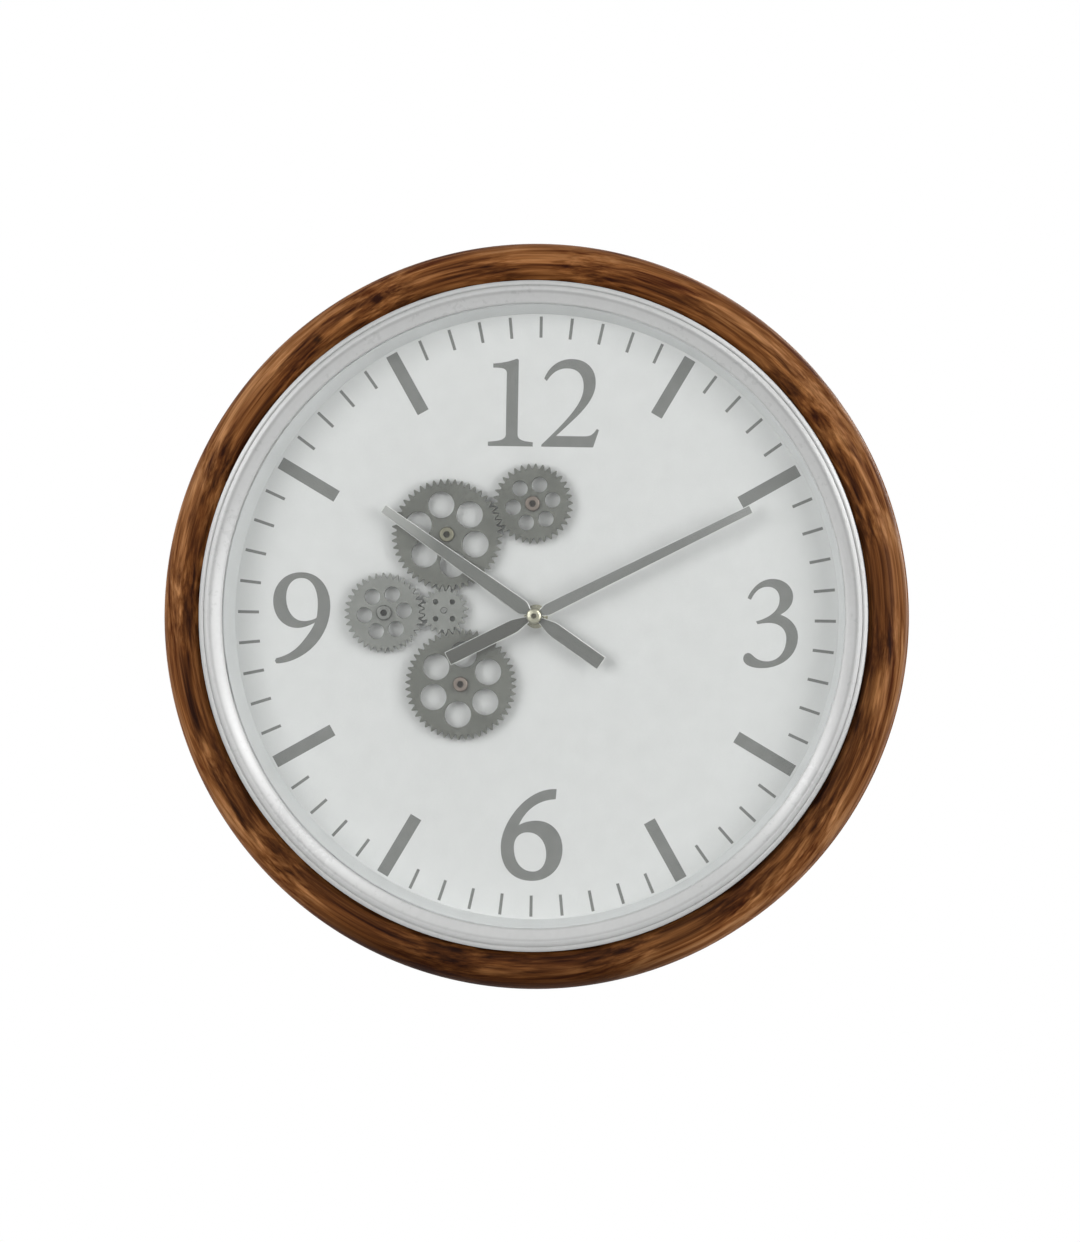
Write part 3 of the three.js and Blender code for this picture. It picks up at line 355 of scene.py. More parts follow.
def coating(
        name, low, high, grain_size, rough, metal=0.0, relief=0.0, tool_marks=0.0, specular=0.35, clouds=0.0):
    """A paint, plating or moulding: two close shades in a fine mottle, with uneven gloss and relief.

    tool_marks is how many fine rings a metre a lathe has left on a turned piece, and clouds is how many
    broad patches of wear a metre has, where there are any."""
    material, tree, shader = new_finish(name)
    place = spot(tree)
    mottle = noise(tree, place, grain_size, 4.0, Roughness=0.6)
    cloud = noise(tree, place, clouds or grain_size / GRAINS_TO_A_CLOUD, 3.0)
    tone = reckon(tree, "MULTIPLY", reckon(tree, "ADD", mottle, cloud), 0.5)
    tree.links.new(shades(tree, tone, (TONE_LOW, low), (TONE_HIGH, high)), shader.inputs["Base Color"])
    gloss = tone
    height = mottle
    if tool_marks:
        lathe = wire(tree, "ShaderNodeAttribute", attribute_name="lathe").outputs["Vector"]
        height = noise(tree, lathe, tool_marks, 2.0)
        gloss = reckon(tree, "MULTIPLY", reckon(tree, "ADD", tone, height), 0.5)
    tree.links.new(spread(tree, gloss, NOISE_LOW, NOISE_HIGH, *rough), shader.inputs["Roughness"])
    shader.inputs["Metallic"].default_value = metal
    shader.inputs["Specular IOR Level"].default_value = specular
    if relief:
        emboss(tree, shader, strength=0.3, distance=relief, height=height)
    return material


black_coat = coating(
    "black_powder_coat", (0.010, 0.010, 0.011), (0.028, 0.028, 0.030), 2400, (0.36, 0.62), relief=0.0002,
    clouds=16)


def dress(node, finish):
    """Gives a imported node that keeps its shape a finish."""
    for holder in frame["nodes"][node].material_slots:
        holder.material = finish


dress("case_drum", black_coat)


# Dial: a flat disc of aluminium sheet, sprayed a pale matt grey. It lies on the drum's step, pierced
# for the movement, the drive shaft and the gear posts.
DIAL_SIDES = 192
DIAL_EASE = 0.0003
HOLE_SIDES = 48
BUSH_HOLE = 0.00475
SHAFT_HOLE = 0.0026
POST_HOLE = 0.00235
GEARS = ("upper_gear", "top_gear", "left_gear", "lower_gear")
joint_places = {joint["child"]: Vector(joint["pos_m"]) for joint in frame["joints"]}


def place_of(body):
    """Where a turning body's axis meets the dial, as (right, up)."""
    return Vector((joint_places[body].x, joint_places[body].z - axis_up))


def depths(node):
    """How far a node's back and front stand from the wall."""
    low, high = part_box(node)
    return -high.y, -low.y


def reach(node):
    """Half of a node's width."""
    low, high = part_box(node)
    return (high.x - low.x) / 2


def ring_of(radius, sides, right=0.0, up=0.0):
    """Corners of a round outline."""
    return ellipse_arc(right, up, radius, radius, 0, 360, sides)[:sides]


def plain_mesh(thing):
    """What an object's modifiers or curve make, as a plain mesh, with the object itself removed."""
    bpy.context.collection.objects.link(thing)
    shown = bpy.context.evaluated_depsgraph_get()
    mesh = bpy.data.meshes.new_from_object(thing.evaluated_get(shown))
    bpy.data.objects.remove(thing)
    return mesh


def stood_up(mesh, depth, right=0.0, up=0.0):
    """Stands a mesh drawn flat in x and y on the dial, with its z coming out of the wall from a depth."""
    mesh.transform(Matrix.Translation((right, -depth, axis_up + up)) @ Matrix.Rotation(math.pi / 2, 4, "X"))
    return crisp(mesh)


def stamped(outlines, back, front, ease=0.0, swell=0.0, rounds=2):
    """A flat plate between two depths, cut to its outlines, the first its edge and the rest holes.

    swell is how far the plate grows past its outlines, as ink does, and no rounds make its eased edge
    flat."""
    curve = bpy.data.curves.new("outline", "CURVE")
    curve.dimensions = "2D"
    curve.fill_mode = "BOTH"
    curve.extrude = (front - back) / 2 - ease
    curve.bevel_depth = ease
    curve.bevel_resolution = rounds
    curve.offset = swell - ease
    for outline in outlines:
        spline = curve.splines.new("POLY")
        spline.points.add(len(outline) - 1)
        for point, (across, up) in zip(spline.points, outline):
            point.co = (across, up, 0, 1)
        spline.use_cyclic_u = True
    return stood_up(plain_mesh(bpy.data.objects.new("outline", curve)), (back + front) / 2)


def dial_paint():
    """Matt sprayed paint, nearly white, with a faint cool cloud and a fine orange-peel."""
    return coating("dial_paint", (0.70, 0.71, 0.705), (0.74, 0.75, 0.745), 900, (0.55, 0.65), relief=0.00005)


dial_back, dial_front = depths("dial")
dial_outlines = [ring_of(reach("dial"), DIAL_SIDES), ring_of(BUSH_HOLE, HOLE_SIDES)]
dial_outlines.append(ring_of(SHAFT_HOLE, HOLE_SIDES, *place_of("drive_pinion")))
dial_outlines += [ring_of(POST_HOLE, HOLE_SIDES, *place_of(gear)) for gear in GEARS]
fit("dial_face", stamped(dial_outlines, dial_back, dial_front, DIAL_EASE), dial_paint(),
    "clock_case", "dial_paint", "dial")


# Printed marks: screen-printed grey ink on the dial, a fine mark at every minute and a broad bar at
# each hour that has no numeral.
PRINT_HEIGHT = 0.00012
MINUTE_MARKS = 60
TICK_INNER, TICK_OUTER, TICK_WIDTH = 0.1875, 0.2017, 0.0020
BAR_INNER, BAR_OUTER, BAR_WIDTH = 0.1573, 0.2016, 0.0083
MARKS_TO_A_BAR = 5
MARKS_TO_A_NUMERAL = 15


def new_tree(name, **sockets):
    """A geometry tree with named inputs, and its input and output nodes."""
    tree = bpy.data.node_groups.new(name, "GeometryNodeTree")
    for label, kind in sockets.items():
        tree.interface.new_socket(label.replace("_", " "), in_out="INPUT", socket_type="NodeSocket" + kind)
    tree.interface.new_socket("Geometry", in_out="OUTPUT", socket_type="NodeSocketGeometry")
    return tree, wire(tree, "NodeGroupInput").outputs, wire(tree, "NodeGroupOutput")


def grown(tree, **sizes):
    """The plain mesh that a geometry tree makes from its sizes."""
    seed = bpy.data.objects.new("seed", bpy.data.meshes.new("seed"))
    modifier = seed.modifiers.new("grow", "NODES")
    modifier.node_group = tree
    for socket in tree.interface.items_tree:
        if socket.in_out == "INPUT":
            modifier[socket.identifier] = sizes[socket.name.replace(" ", "_")]
    return plain_mesh(seed)


def finish_tree(tree, geometry, material, output):
    """Ends a tree: instances made real, and the finish set."""
    real = made(tree, "GeometryNodeRealizeInstances", {0: geometry})
    shown = made(tree, "GeometryNodeSetMaterial", {"Geometry": real, "Material": material})
    tree.links.new(shown, output.inputs[0])


def marks_tree():
    """A bar of ink at each place round the dial, either at the hour bars' places or at all the others."""
    tree, sizes, output = new_tree(
        "marks_round_the_dial", Hour_Bars="Bool", Inner="Float", Outer="Float", Width="Float", Height="Float",
        Ink="Material")
    middle = reckon(tree, "DIVIDE", reckon(tree, "ADD", sizes["Inner"], sizes["Outer"]), 2.0)
    ring = made(tree, "GeometryNodeMeshCircle", {"Vertices": MINUTE_MARKS, "Radius": middle})
    index = made(tree, "GeometryNodeInputIndex")
    on_hour = reckon(tree, "LESS_THAN", reckon(tree, "MODULO", index, MARKS_TO_A_BAR), 0.5)
    off_numeral = reckon(tree, "GREATER_THAN", reckon(tree, "MODULO", index, MARKS_TO_A_NUMERAL), 0.5)
    bar_place = reckon(tree, "MULTIPLY", on_hour, off_numeral)
    sockets = {0: bar_place, 1: sizes["Hour Bars"]}
    other = made(tree, "FunctionNodeBooleanMath", sockets, operation="XOR")
    kept = made(tree, "GeometryNodeDeleteGeometry", {"Geometry": ring, "Selection": other})
    place = made(tree, "GeometryNodeInputPosition")
    leftwards = reckon(tree, "MULTIPLY", part(tree, place, "X"), -1.0)
    turn = reckon(tree, "ARCTAN2", leftwards, part(tree, place, "Y"))
    length = reckon(tree, "SUBTRACT", sizes["Outer"], sizes["Inner"])
    extent = made(tree, "ShaderNodeCombineXYZ", {0: sizes["Width"], 1: length, 2: sizes["Height"]})
    bar = wire(tree, "GeometryNodeMeshCube", {"Size": extent}).outputs["Mesh"]
    turned_to = made(tree, "ShaderNodeCombineXYZ", {2: turn})
    sockets = {"Points": kept, "Instance": bar, "Rotation": turned_to}
    bars = made(tree, "GeometryNodeInstanceOnPoints", sockets)
    finish_tree(tree, bars, sizes["Ink"], output)
    return tree


grey_ink = coating(
    "grey_ink", (0.160, 0.166, 0.158), (0.200, 0.206, 0.197), 1500, (0.45, 0.6), relief=0.00003)
ring_marks = marks_tree()
for name, hour_bars, inner, outer, width in (
        ("minute_marks", False, TICK_INNER, TICK_OUTER, TICK_WIDTH),
        ("hour_bars", True, BAR_INNER, BAR_OUTER, BAR_WIDTH)):
    ink_bars = grown(ring_marks, Hour_Bars=hour_bars, Inner=inner, Outer=outer, Width=width,
                     Height=PRINT_HEIGHT, Ink=grey_ink)
    fit(name, stood_up(ink_bars, dial_front + PRINT_HEIGHT / 2), grey_ink, "clock_case", "dial_paint")


# Numerals 12, 3, 6 and 9: printed in the same ink, in an old-style face with thick and thin strokes.
# Each is drawn on a grid of its own, one step about an eighth of a millimetre, and set to its height.
PEN_STEPS = 10
INK_SPREAD = 0.0002


def pen(*strokes):
    """A closed outline. A stroke is a corner (x, y) or a curve, by two handles and its end."""
    outline = []
    for stroke in strokes:
        points = [Vector(stroke[i:i + 2]) for i in range(0, len(stroke), 2)]
        if len(points) == 1:
            outline.append(points[0])
            continue
        start = outline[-1]
        for step in range(1, PEN_STEPS + 1):
            t = step / PEN_STEPS
            near = start * (1 - t) ** 3 + points[0] * 3 * t * (1 - t) ** 2
            outline.append(near + points[1] * 3 * t ** 2 * (1 - t) + points[2] * t ** 3)
    return outline


one = pen(
    (0, 0), (242, 0), (242, 20), (205, 24, 162, 26, 158, 60), (158, 468), (150, 474),
    (105, 456, 60, 448, 22, 446), (22, 427), (70, 427, 97, 424, 97, 395), (97, 60), (93, 26, 45, 24, 0, 20))
two = pen(
    (292, 0), (572, 0), (602, 92), (592, 97), (578, 72, 560, 56, 525, 56), (366, 56),
    (475, 160), (560, 245, 580, 300, 580, 350), (580, 430, 525, 476, 450, 476),
    (385, 476, 330, 440, 302, 370), (314, 358), (345, 410, 385, 428, 425, 428),
    (490, 428, 518, 385, 518, 325), (518, 250, 460, 170, 292, 8))
three = pen(
    (18, 378), (38, 428, 85, 482, 152, 482), (215, 482, 262, 440, 262, 388), (262, 345, 232, 310, 192, 290),
    (255, 270, 292, 225, 292, 168), (292, 70, 205, 0, 95, 0), (40, 0, 0, 18, 0, 48), (0, 68, 12, 78, 26, 78),
    (48, 78, 60, 34, 125, 34), (190, 34, 232, 90, 232, 160), (232, 215, 190, 246, 138, 246),
    (110, 246, 90, 242, 74, 238), (66, 250), (140, 272, 192, 312, 192, 372),
    (192, 415, 165, 442, 125, 442), (85, 442, 55, 418, 34, 370))
six = pen(
    (312, 525), (230, 528, 150, 480, 95, 415), (35, 345, 0, 265, 0, 190), (0, 75, 68, 0, 175, 0),
    (285, 0, 352, 80, 352, 180), (352, 275, 290, 342, 205, 342), (160, 342, 125, 330, 96, 312),
    (130, 395, 200, 465, 308, 470))
six_eye = pen(
    (72, 190), (72, 245, 105, 278, 152, 278), (220, 278, 262, 220, 262, 150), (262, 90, 230, 50, 184, 50),
    (115, 50, 72, 110, 72, 190))
nine = pen(
    (0, 355), (0, 448, 66, 514, 158, 514), (258, 514, 322, 432, 322, 322), (322, 190, 240, 72, 120, 22),
    (85, 8, 50, 0, 24, 0), (16, 12), (22, 26), (80, 40, 130, 70, 170, 122), (205, 165, 230, 205, 240, 236),
    (200, 212, 165, 202, 135, 202), (58, 202, 0, 268, 0, 355))
nine_eye = pen(
    (70, 375), (70, 440, 105, 485, 157, 485), (222, 485, 254, 415, 254, 335), (254, 305, 252, 280, 248, 258),
    (225, 244, 198, 238, 172, 238), (112, 238, 70, 300, 70, 375))
NUMERALS = (
    ("numeral_12", [one, two], 0.0592, (0.0028, 0.1438)),
    ("numeral_3", [three], 0.0600, (0.1582, -0.0022)),
    ("numeral_6", [six, six_eye], 0.0620, (-0.0003, -0.1467)),
    ("numeral_9", [nine, nine_eye], 0.0617, (-0.1586, -0.0036)),
)
for name, drawings, height, middle in NUMERALS:
    points = [point for drawing in drawings for point in drawing]
    low = Vector((min(p.x for p in points), min(p.y for p in points)))
    high = Vector((max(p.x for p in points), max(p.y for p in points)))
    scale = (height - 2 * INK_SPREAD) / (high.y - low.y)
    placed = [[(p - (low + high) / 2) * scale + Vector(middle) for p in drawing] for drawing in drawings]
    numeral = stamped(placed, dial_front, dial_front + PRINT_HEIGHT, swell=INK_SPREAD)
    fit(name, numeral, grey_ink, "clock_case", "dial_paint")


# Gear posts: shouldered posts of zinc-plated steel, riveted through the dial from behind. Each wheel
# turns on its post between the shoulder and a screw.
POST_RIVET, POST_RIVET_RADIUS = 0.0008, 0.0036
POST_TENON = 0.0022
POST_SHOULDER = 0.0056
POST_RADIUS = 0.00295
POST_EASE = 0.0003
POST_SIDES = 40
POST_PLAY = 0.00015
TOOL_MARKS = 5200
gear_back, gear_front = depths("upper_gear")
post_front = depths("upper_gear_post")[1]
bright_zinc = coating(
    "bright_zinc", (0.30, 0.31, 0.32), (0.44, 0.45, 0.46), 700, (0.32, 0.5), metal=1.0, relief=0.00006,
    tool_marks=TOOL_MARKS)
post_profile = eased([
    (0, dial_back - POST_RIVET, 0), (POST_RIVET_RADIUS, dial_back - POST_RIVET, POST_EASE),
    (POST_RIVET_RADIUS, dial_back, 0), (POST_TENON, dial_back, 0), (POST_TENON, dial_front, 0),
    (POST_SHOULDER, dial_front, 0), (POST_SHOULDER, gear_back - POST_PLAY, POST_EASE),
    (POST_RADIUS, gear_back - POST_PLAY, 0), (POST_RADIUS, post_front, POST_EASE), (0, post_front, 0)])
for gear in GEARS:
    post = turned(post_profile, POST_SIDES, *place_of(gear))
    fit(gear + "_turned_post", post, bright_zinc, "clock_case", "zinc_steel", gear + "_post")


# Gear wheels: cut from aluminium sheet with involute teeth and round lightening holes, then sprayed a
# satin grey. All mesh by one tooth module, and the drive's pinion turns the rest.
MODULE = 0.0015
PRESSURE_ANGLE = math.radians(25)
DEDENDUM = 1.25
BACKLASH = 0.0003
FLANK_POINTS = 6
WHEEL_EASE = 0.00028
LARGE = {"Teeth": 48, "Holes": 6, "Hole_Radius": 0.00889, "Hole_Circle": 0.02029, "Bore": 0.0031}
SMALL = {"Teeth": 34, "Holes": 6, "Hole_Radius": 0.00524, "Hole_Circle": 0.01344, "Bore": 0.0031}
PINION = {"Teeth": 20, "Holes": 4, "Hole_Radius": 0.00181, "Hole_Circle": 0.00801, "Bore": 0.00215}


def wheel_tree():
    """A gear wheel lying flat about the origin, with its teeth and holes at given bearings from y to x."""
    tree, sizes, output = new_tree(
        "gear_wheel", Teeth="Int", Tooth_Bearing="Float", Holes="Int", Hole_Radius="Float",
        Hole_Circle="Float", Hole_Bearing="Float", Bore="Float", Thickness="Float", Finish="Material")
    tooth_points = 2 * FLANK_POINTS
    index = made(tree, "GeometryNodeInputIndex")
    step = reckon(tree, "MODULO", index, tooth_points)
    tooth = reckon(tree, "FLOOR", reckon(tree, "DIVIDE", index, tooth_points))
    climb = reckon(tree, "MINIMUM", step, reckon(tree, "SUBTRACT", tooth_points - 1.0, step))
    rise = reckon(tree, "DIVIDE", climb, FLANK_POINTS - 1.0)
    falling = reckon(tree, "GREATER_THAN", step, FLANK_POINTS - 0.5)
    side = reckon(tree, "SUBTRACT", reckon(tree, "MULTIPLY", falling, 2.0), 1.0)
    pitch = reckon(tree, "MULTIPLY", sizes["Teeth"], MODULE / 2)
    base = reckon(tree, "MULTIPLY", pitch, math.cos(PRESSURE_ANGLE))
    root = reckon(tree, "SUBTRACT", pitch, DEDENDUM * MODULE)
    radius = reckon(tree, "ADD", root, reckon(tree, "MULTIPLY", rise, (1 + DEDENDUM) * MODULE))
    slope = reckon(tree, "ARCCOSINE", reckon(tree, "MINIMUM", reckon(tree, "DIVIDE", base, radius), 1.0))
    involute = reckon(tree, "SUBTRACT", reckon(tree, "TANGENT", slope), slope)
    pitch_involute = math.tan(PRESSURE_ANGLE) - PRESSURE_ANGLE
    tooth_width = math.pi * MODULE / 2 - BACKLASH
    at_pitch = reckon(tree, "DIVIDE", tooth_width / 2, pitch)
    half_tooth = reckon(tree, "SUBTRACT", reckon(tree, "ADD", at_pitch, pitch_involute), involute)
    tooth_step = reckon(tree, "DIVIDE", math.tau, sizes["Teeth"])
    middle = reckon(tree, "ADD", sizes["Tooth Bearing"], reckon(tree, "MULTIPLY", tooth, tooth_step))
    bearing = reckon(tree, "ADD", middle, reckon(tree, "MULTIPLY", side, half_tooth))
    across = reckon(tree, "MULTIPLY", radius, reckon(tree, "SINE", bearing))
    up = reckon(tree, "MULTIPLY", radius, reckon(tree, "COSINE", bearing))
    corner = made(tree, "ShaderNodeCombineXYZ", {0: across, 1: up})
    count = reckon(tree, "MULTIPLY", sizes["Teeth"], tooth_points)
    blank = made(tree, "GeometryNodeCurvePrimitiveCircle", {"Resolution": count})
    toothed = made(tree, "GeometryNodeSetPosition", {"Geometry": blank, "Position": corner})
    sockets = {"Vertices": sizes["Holes"], "Radius": sizes["Hole Circle"]}
    hole_places = made(tree, "GeometryNodeMeshCircle", sockets)
    hole_turn = reckon(tree, "SUBTRACT", math.pi / 2, sizes["Hole Bearing"])
    hole_turn = made(tree, "ShaderNodeCombineXYZ", {2: hole_turn})
    sockets = {"Geometry": hole_places, "Rotation": hole_turn}
    turned_places = made(tree, "GeometryNodeTransform", sockets)
    sockets = {"Resolution": HOLE_SIDES, "Radius": sizes["Hole Radius"]}
    hole = made(tree, "GeometryNodeCurvePrimitiveCircle", sockets)
    sockets = {"Points": turned_places, "Instance": hole}
    holes = made(tree, "GeometryNodeInstanceOnPoints", sockets)
    real_holes = made(tree, "GeometryNodeRealizeInstances", {0: holes})
    sockets = {"Resolution": HOLE_SIDES, "Radius": sizes["Bore"]}
    bore = made(tree, "GeometryNodeCurvePrimitiveCircle", sockets)
    outlines = wire(tree, "GeometryNodeJoinGeometry")
    for outline in (toothed, real_holes, bore):
        tree.links.new(outline, outlines.inputs[0])
    face = made(tree, "GeometryNodeFillCurve", {0: outlines.outputs[0]}, mode="NGONS")
    lift = made(tree, "ShaderNodeCombineXYZ", {2: sizes["Thickness"]})
    sockets = {"Mesh": face, "Offset": lift, "Individual": False}
    raised = made(tree, "GeometryNodeExtrudeMesh", sockets)
    under = made(tree, "GeometryNodeFlipFaces", {0: face})
    both = wire(tree, "GeometryNodeJoinGeometry")
    for half in (raised, under):
        tree.links.new(half, both.inputs[0])
    sockets = {"Geometry": both.outputs[0], "Distance": WELD_GAP}
    closed = made(tree, "GeometryNodeMergeByDistance", sockets)
    finish_tree(tree, closed, sizes["Finish"], output)
    return tree


def chamfered(mesh, width, segments=2, degrees=30):
    """A copy of a mesh with its sharp edges taken off."""
    block = bpy.data.objects.new("block", mesh)
    edge = block.modifiers.new("edge", "BEVEL")
    edge.width = width
    edge.segments = segments
    edge.limit_method = "ANGLE"
    edge.angle_limit = math.radians(degrees)
    return crisp(plain_mesh(block))


def meshed(body, cut, tooth, other, other_cut):
    """The tooth bearing of another wheel that sets its gap on a tooth of a body's wheel, in degrees."""
    way = place_of(other) - place_of(body)
    bearing = math.degrees(math.atan2(way.x, way.y))
    share = (bearing - tooth) / (360 / cut["Teeth"])
    return bearing + 180 - (0.5 - share) * (360 / other_cut["Teeth"])


upper_tooth = 0.0
pinion_tooth = meshed("upper_gear", LARGE, upper_tooth, "drive_pinion", PINION)
top_tooth = meshed("upper_gear", LARGE, upper_tooth, "top_gear", SMALL)
left_tooth = meshed("drive_pinion", PINION, pinion_tooth, "left_gear", SMALL)
lower_tooth = meshed("drive_pinion", PINION, pinion_tooth, "lower_gear", LARGE)
gunmetal = coating(
    "gunmetal_paint", (0.088, 0.092, 0.080), (0.136, 0.141, 0.125), 420, (0.36, 0.5),
    metal=0.35, relief=0.00008)
pale_grey = coating(
    "pale_grey_paint", (0.162, 0.168, 0.155), (0.210, 0.216, 0.203), 420, (0.4, 0.55),
    metal=0.3, relief=0.00008)
gear_wheel = wheel_tree()
TRAIN = (
    ("upper_gear", LARGE, upper_tooth, 47.9, gunmetal, "grey_gears"),
    ("top_gear", SMALL, top_tooth, 18.4, gunmetal, "grey_gears"),
    ("left_gear", SMALL, left_tooth, 22.6, pale_grey, "pale_gears"),
    ("lower_gear", LARGE, lower_tooth, 4.5, gunmetal, "grey_gears"),
    ("drive_pinion", PINION, pinion_tooth, 44.0, pale_grey, "pale_gears"),
)
for gear, cut, tooth, hole, paint, slot in TRAIN:
    blank = grown(gear_wheel, **cut, Tooth_Bearing=math.radians(tooth), Hole_Bearing=math.radians(hole),
                  Thickness=gear_front - gear_back, Finish=paint)
    wheel = stood_up(chamfered(crisp(blank), WHEEL_EASE), gear_back, *place_of(gear))
    fit(gear + "_wheel", wheel, paint, gear, slot, gear)


# Gear screws: socket screws in the posts' ends, in brass, copper plate or zinc, dulled with age.
# Their heads keep the wheels on.
HEAD_RADIUS = 0.0052
HEAD_FACE = 0.0046
HEAD_SIDE = 0.0011
HEAD_SIDE_EASE, HEAD_FACE_EASE = 0.0005, 0.0006
SOCKET_RADIUS = 0.0025
SOCKET_DEPTH = 0.0019
SOCKET_SIDES = 6
# Painted shade in a socket begins this far behind the face, and the share below is how far it dims the
# socket's floor.
SOCKET_RIM = 0.0004
SOCKET_SHADE = 0.14
SHANK_RADIUS = 0.00145
SHANK_LENGTH = 0.005


def carved(mesh, *cutters):
    """A mesh with others cut out of it."""
    for cutter in cutters:
        block = bpy.data.objects.new("block", mesh)
        tool = bpy.data.objects.new("tool", cutter)
        bpy.context.collection.objects.link(tool)
        cut = block.modifiers.new("cut", "BOOLEAN")
        cut.operation = "DIFFERENCE"
        cut.solver = "EXACT"
        cut.object = tool
        mesh = plain_mesh(block)
        bpy.data.objects.remove(tool)
    return crisp(mesh)


def with_painted_shade(material, share):
    """A finish whose colour is dimmed, as painted shade, by the share, 0 to 1, that a function of its tree
    gives.
    """
    tree = material.node_tree
    base = tree.nodes["Principled BSDF"].inputs["Base Color"]
    tree.links.new(scaled(tree, base.links[0].from_socket, share(tree)), base)
    return material


def shade_in_socket(tree):
    """Darker the further in from the screw's face: painted shade in the sockets and on the heads' outer
    edges.
    """
    inwards = part(tree, spot(tree), "Y")
    return spread(tree, inwards, -screw_front + SOCKET_RIM, -screw_front + SOCKET_DEPTH, 1.0, SOCKET_SHADE)


def turned_metal(name, low, high, rough=(0.42, 0.6), metal=0.6):
    """Metal gone dull, with the fine rings that a lathe leaves."""
    return coating(name, low, high, 900, rough, metal, relief=0.00005, tool_marks=TOOL_MARKS)


screw_front = depths("upper_gear_screw")[1]
dull_brass = turned_metal("dull_brass", (0.122, 0.117, 0.080), (0.184, 0.178, 0.132))
dull_copper = turned_metal("dull_copper", (0.124, 0.100, 0.084), (0.182, 0.152, 0.130))
dull_zinc = turned_metal("dull_zinc", (0.126, 0.130, 0.122), (0.180, 0.184, 0.175))
# The screw heads get painted shade in their sockets and at their outer edges.
for plating in (dull_brass, dull_copper, dull_zinc):
    with_painted_shade(plating, shade_in_socket)
head_profile = eased([
    (0, post_front - SHANK_LENGTH, 0), (SHANK_RADIUS, post_front - SHANK_LENGTH, 0),
    (SHANK_RADIUS, post_front, 0), (HEAD_RADIUS, post_front, 0),
    (HEAD_RADIUS, post_front + HEAD_SIDE, HEAD_SIDE_EASE), (HEAD_FACE, screw_front, HEAD_FACE_EASE),
    (0, screw_front, 0)])
HEADS = (
    ("upper_gear", dull_brass, "brass"), ("top_gear", dull_copper, "copper_heads"),
    ("left_gear", dull_zinc, "zinc_steel"), ("lower_gear", dull_copper, "copper_heads"))
for gear, plating, slot in HEADS:
    head = turned(head_profile, POST_SIDES, *place_of(gear))
    socket = stamped([ring_of(SOCKET_RADIUS, SOCKET_SIDES, *place_of(gear))],
                     screw_front - SOCKET_DEPTH, screw_front + SOCKET_DEPTH)
    fit(gear + "_socket_screw", carved(head, socket), plating, "clock_case", slot, gear + "_screw")


# Drive shaft and collar: turned steel, gone dull. The pinion is pressed on the shaft against the collar,
# and the shaft comes out of the drive through the dial.
COLLAR_BORE = 0.00215
SHAFT_EASE = 0.0004
dark_steel = turned_metal("dark_steel", (0.130, 0.133, 0.128), (0.190, 0.194, 0.187), (0.4, 0.55), 0.7)
shaft_back, shaft_front = depths("drive_shaft")
collar_back, collar_front = depths("pinion_collar")
shaft_radius = reach("drive_shaft")
shaft_profile = eased([
    (0, shaft_back, 0), (shaft_radius, shaft_back, 0), (shaft_radius, shaft_front, SHAFT_EASE),
    (0, shaft_front, 0)])
collar_profile = eased([
    (COLLAR_BORE, collar_back, 0), (reach("pinion_collar"), collar_back, POST_EASE),
    (reach("pinion_collar"), collar_front, 0), (COLLAR_BORE, collar_front, 0)])
for name, node, profile in (
        ("shaft_turned", "drive_shaft", shaft_profile), ("collar_turned", "pinion_collar", collar_profile)):
    piece = turned(profile, POST_SIDES, *place_of("drive_pinion"))
    fit(name, piece, dark_steel, "drive_pinion", "zinc_steel", node)


# Movement clamp: threaded brass bush, brass washer and hexagon nut in front of the dial, and a rubber
# washer behind it. They hold the movement to the dial.
BUSH_BORE = 0.0029
NUT_SIDES = 6
NUT_FLATS = 0.013
NUT_EASE = 0.0005
WASHER_EASE = 0.0002


def washer(node, bore, ease=WASHER_EASE, sides=POST_SIDES):
    """A turned ring that fills a node's place round the hands' axis."""
    back, front = depths(node)
    outside = reach(node)
    profile = eased([(bore, back, 0), (outside, back, ease), (outside, front, ease), (bore, front, ease)])
    return turned(profile, sides)


pale_brass = turned_metal("pale_brass", (0.255, 0.248, 0.185), (0.355, 0.347, 0.272), (0.28, 0.42), 0.9)
black_rubber = coating(
    "black_rubber", (0.014, 0.014, 0.014), (0.026, 0.026, 0.026), 1600, (0.7, 0.85), relief=0.0001)
for name, node, bore, finish, slot in (
        ("bush_threaded", "movement_bush", BUSH_BORE, pale_brass, "brass"),
        ("bush_washer_turned", "bush_washer", BUSH_HOLE, pale_brass, "brass"),
        ("rubber_ring", "rubber_washer", BUSH_HOLE, black_rubber, "black_rubber")):
    fit(name, washer(node, bore), finish, "clock_case", slot, node)
nut_back, nut_front = depths("bush_nut")
nut_outline = [Vector((y, x)) for x, y in ring_of(NUT_FLATS / math.sqrt(3), NUT_SIDES)]
hexagon = stamped([nut_outline, ring_of(BUSH_HOLE, HOLE_SIDES)], nut_back, nut_front, NUT_EASE)
fit("bush_nut_hexagon", hexagon, pale_brass, "clock_case", "brass", "bush_nut")


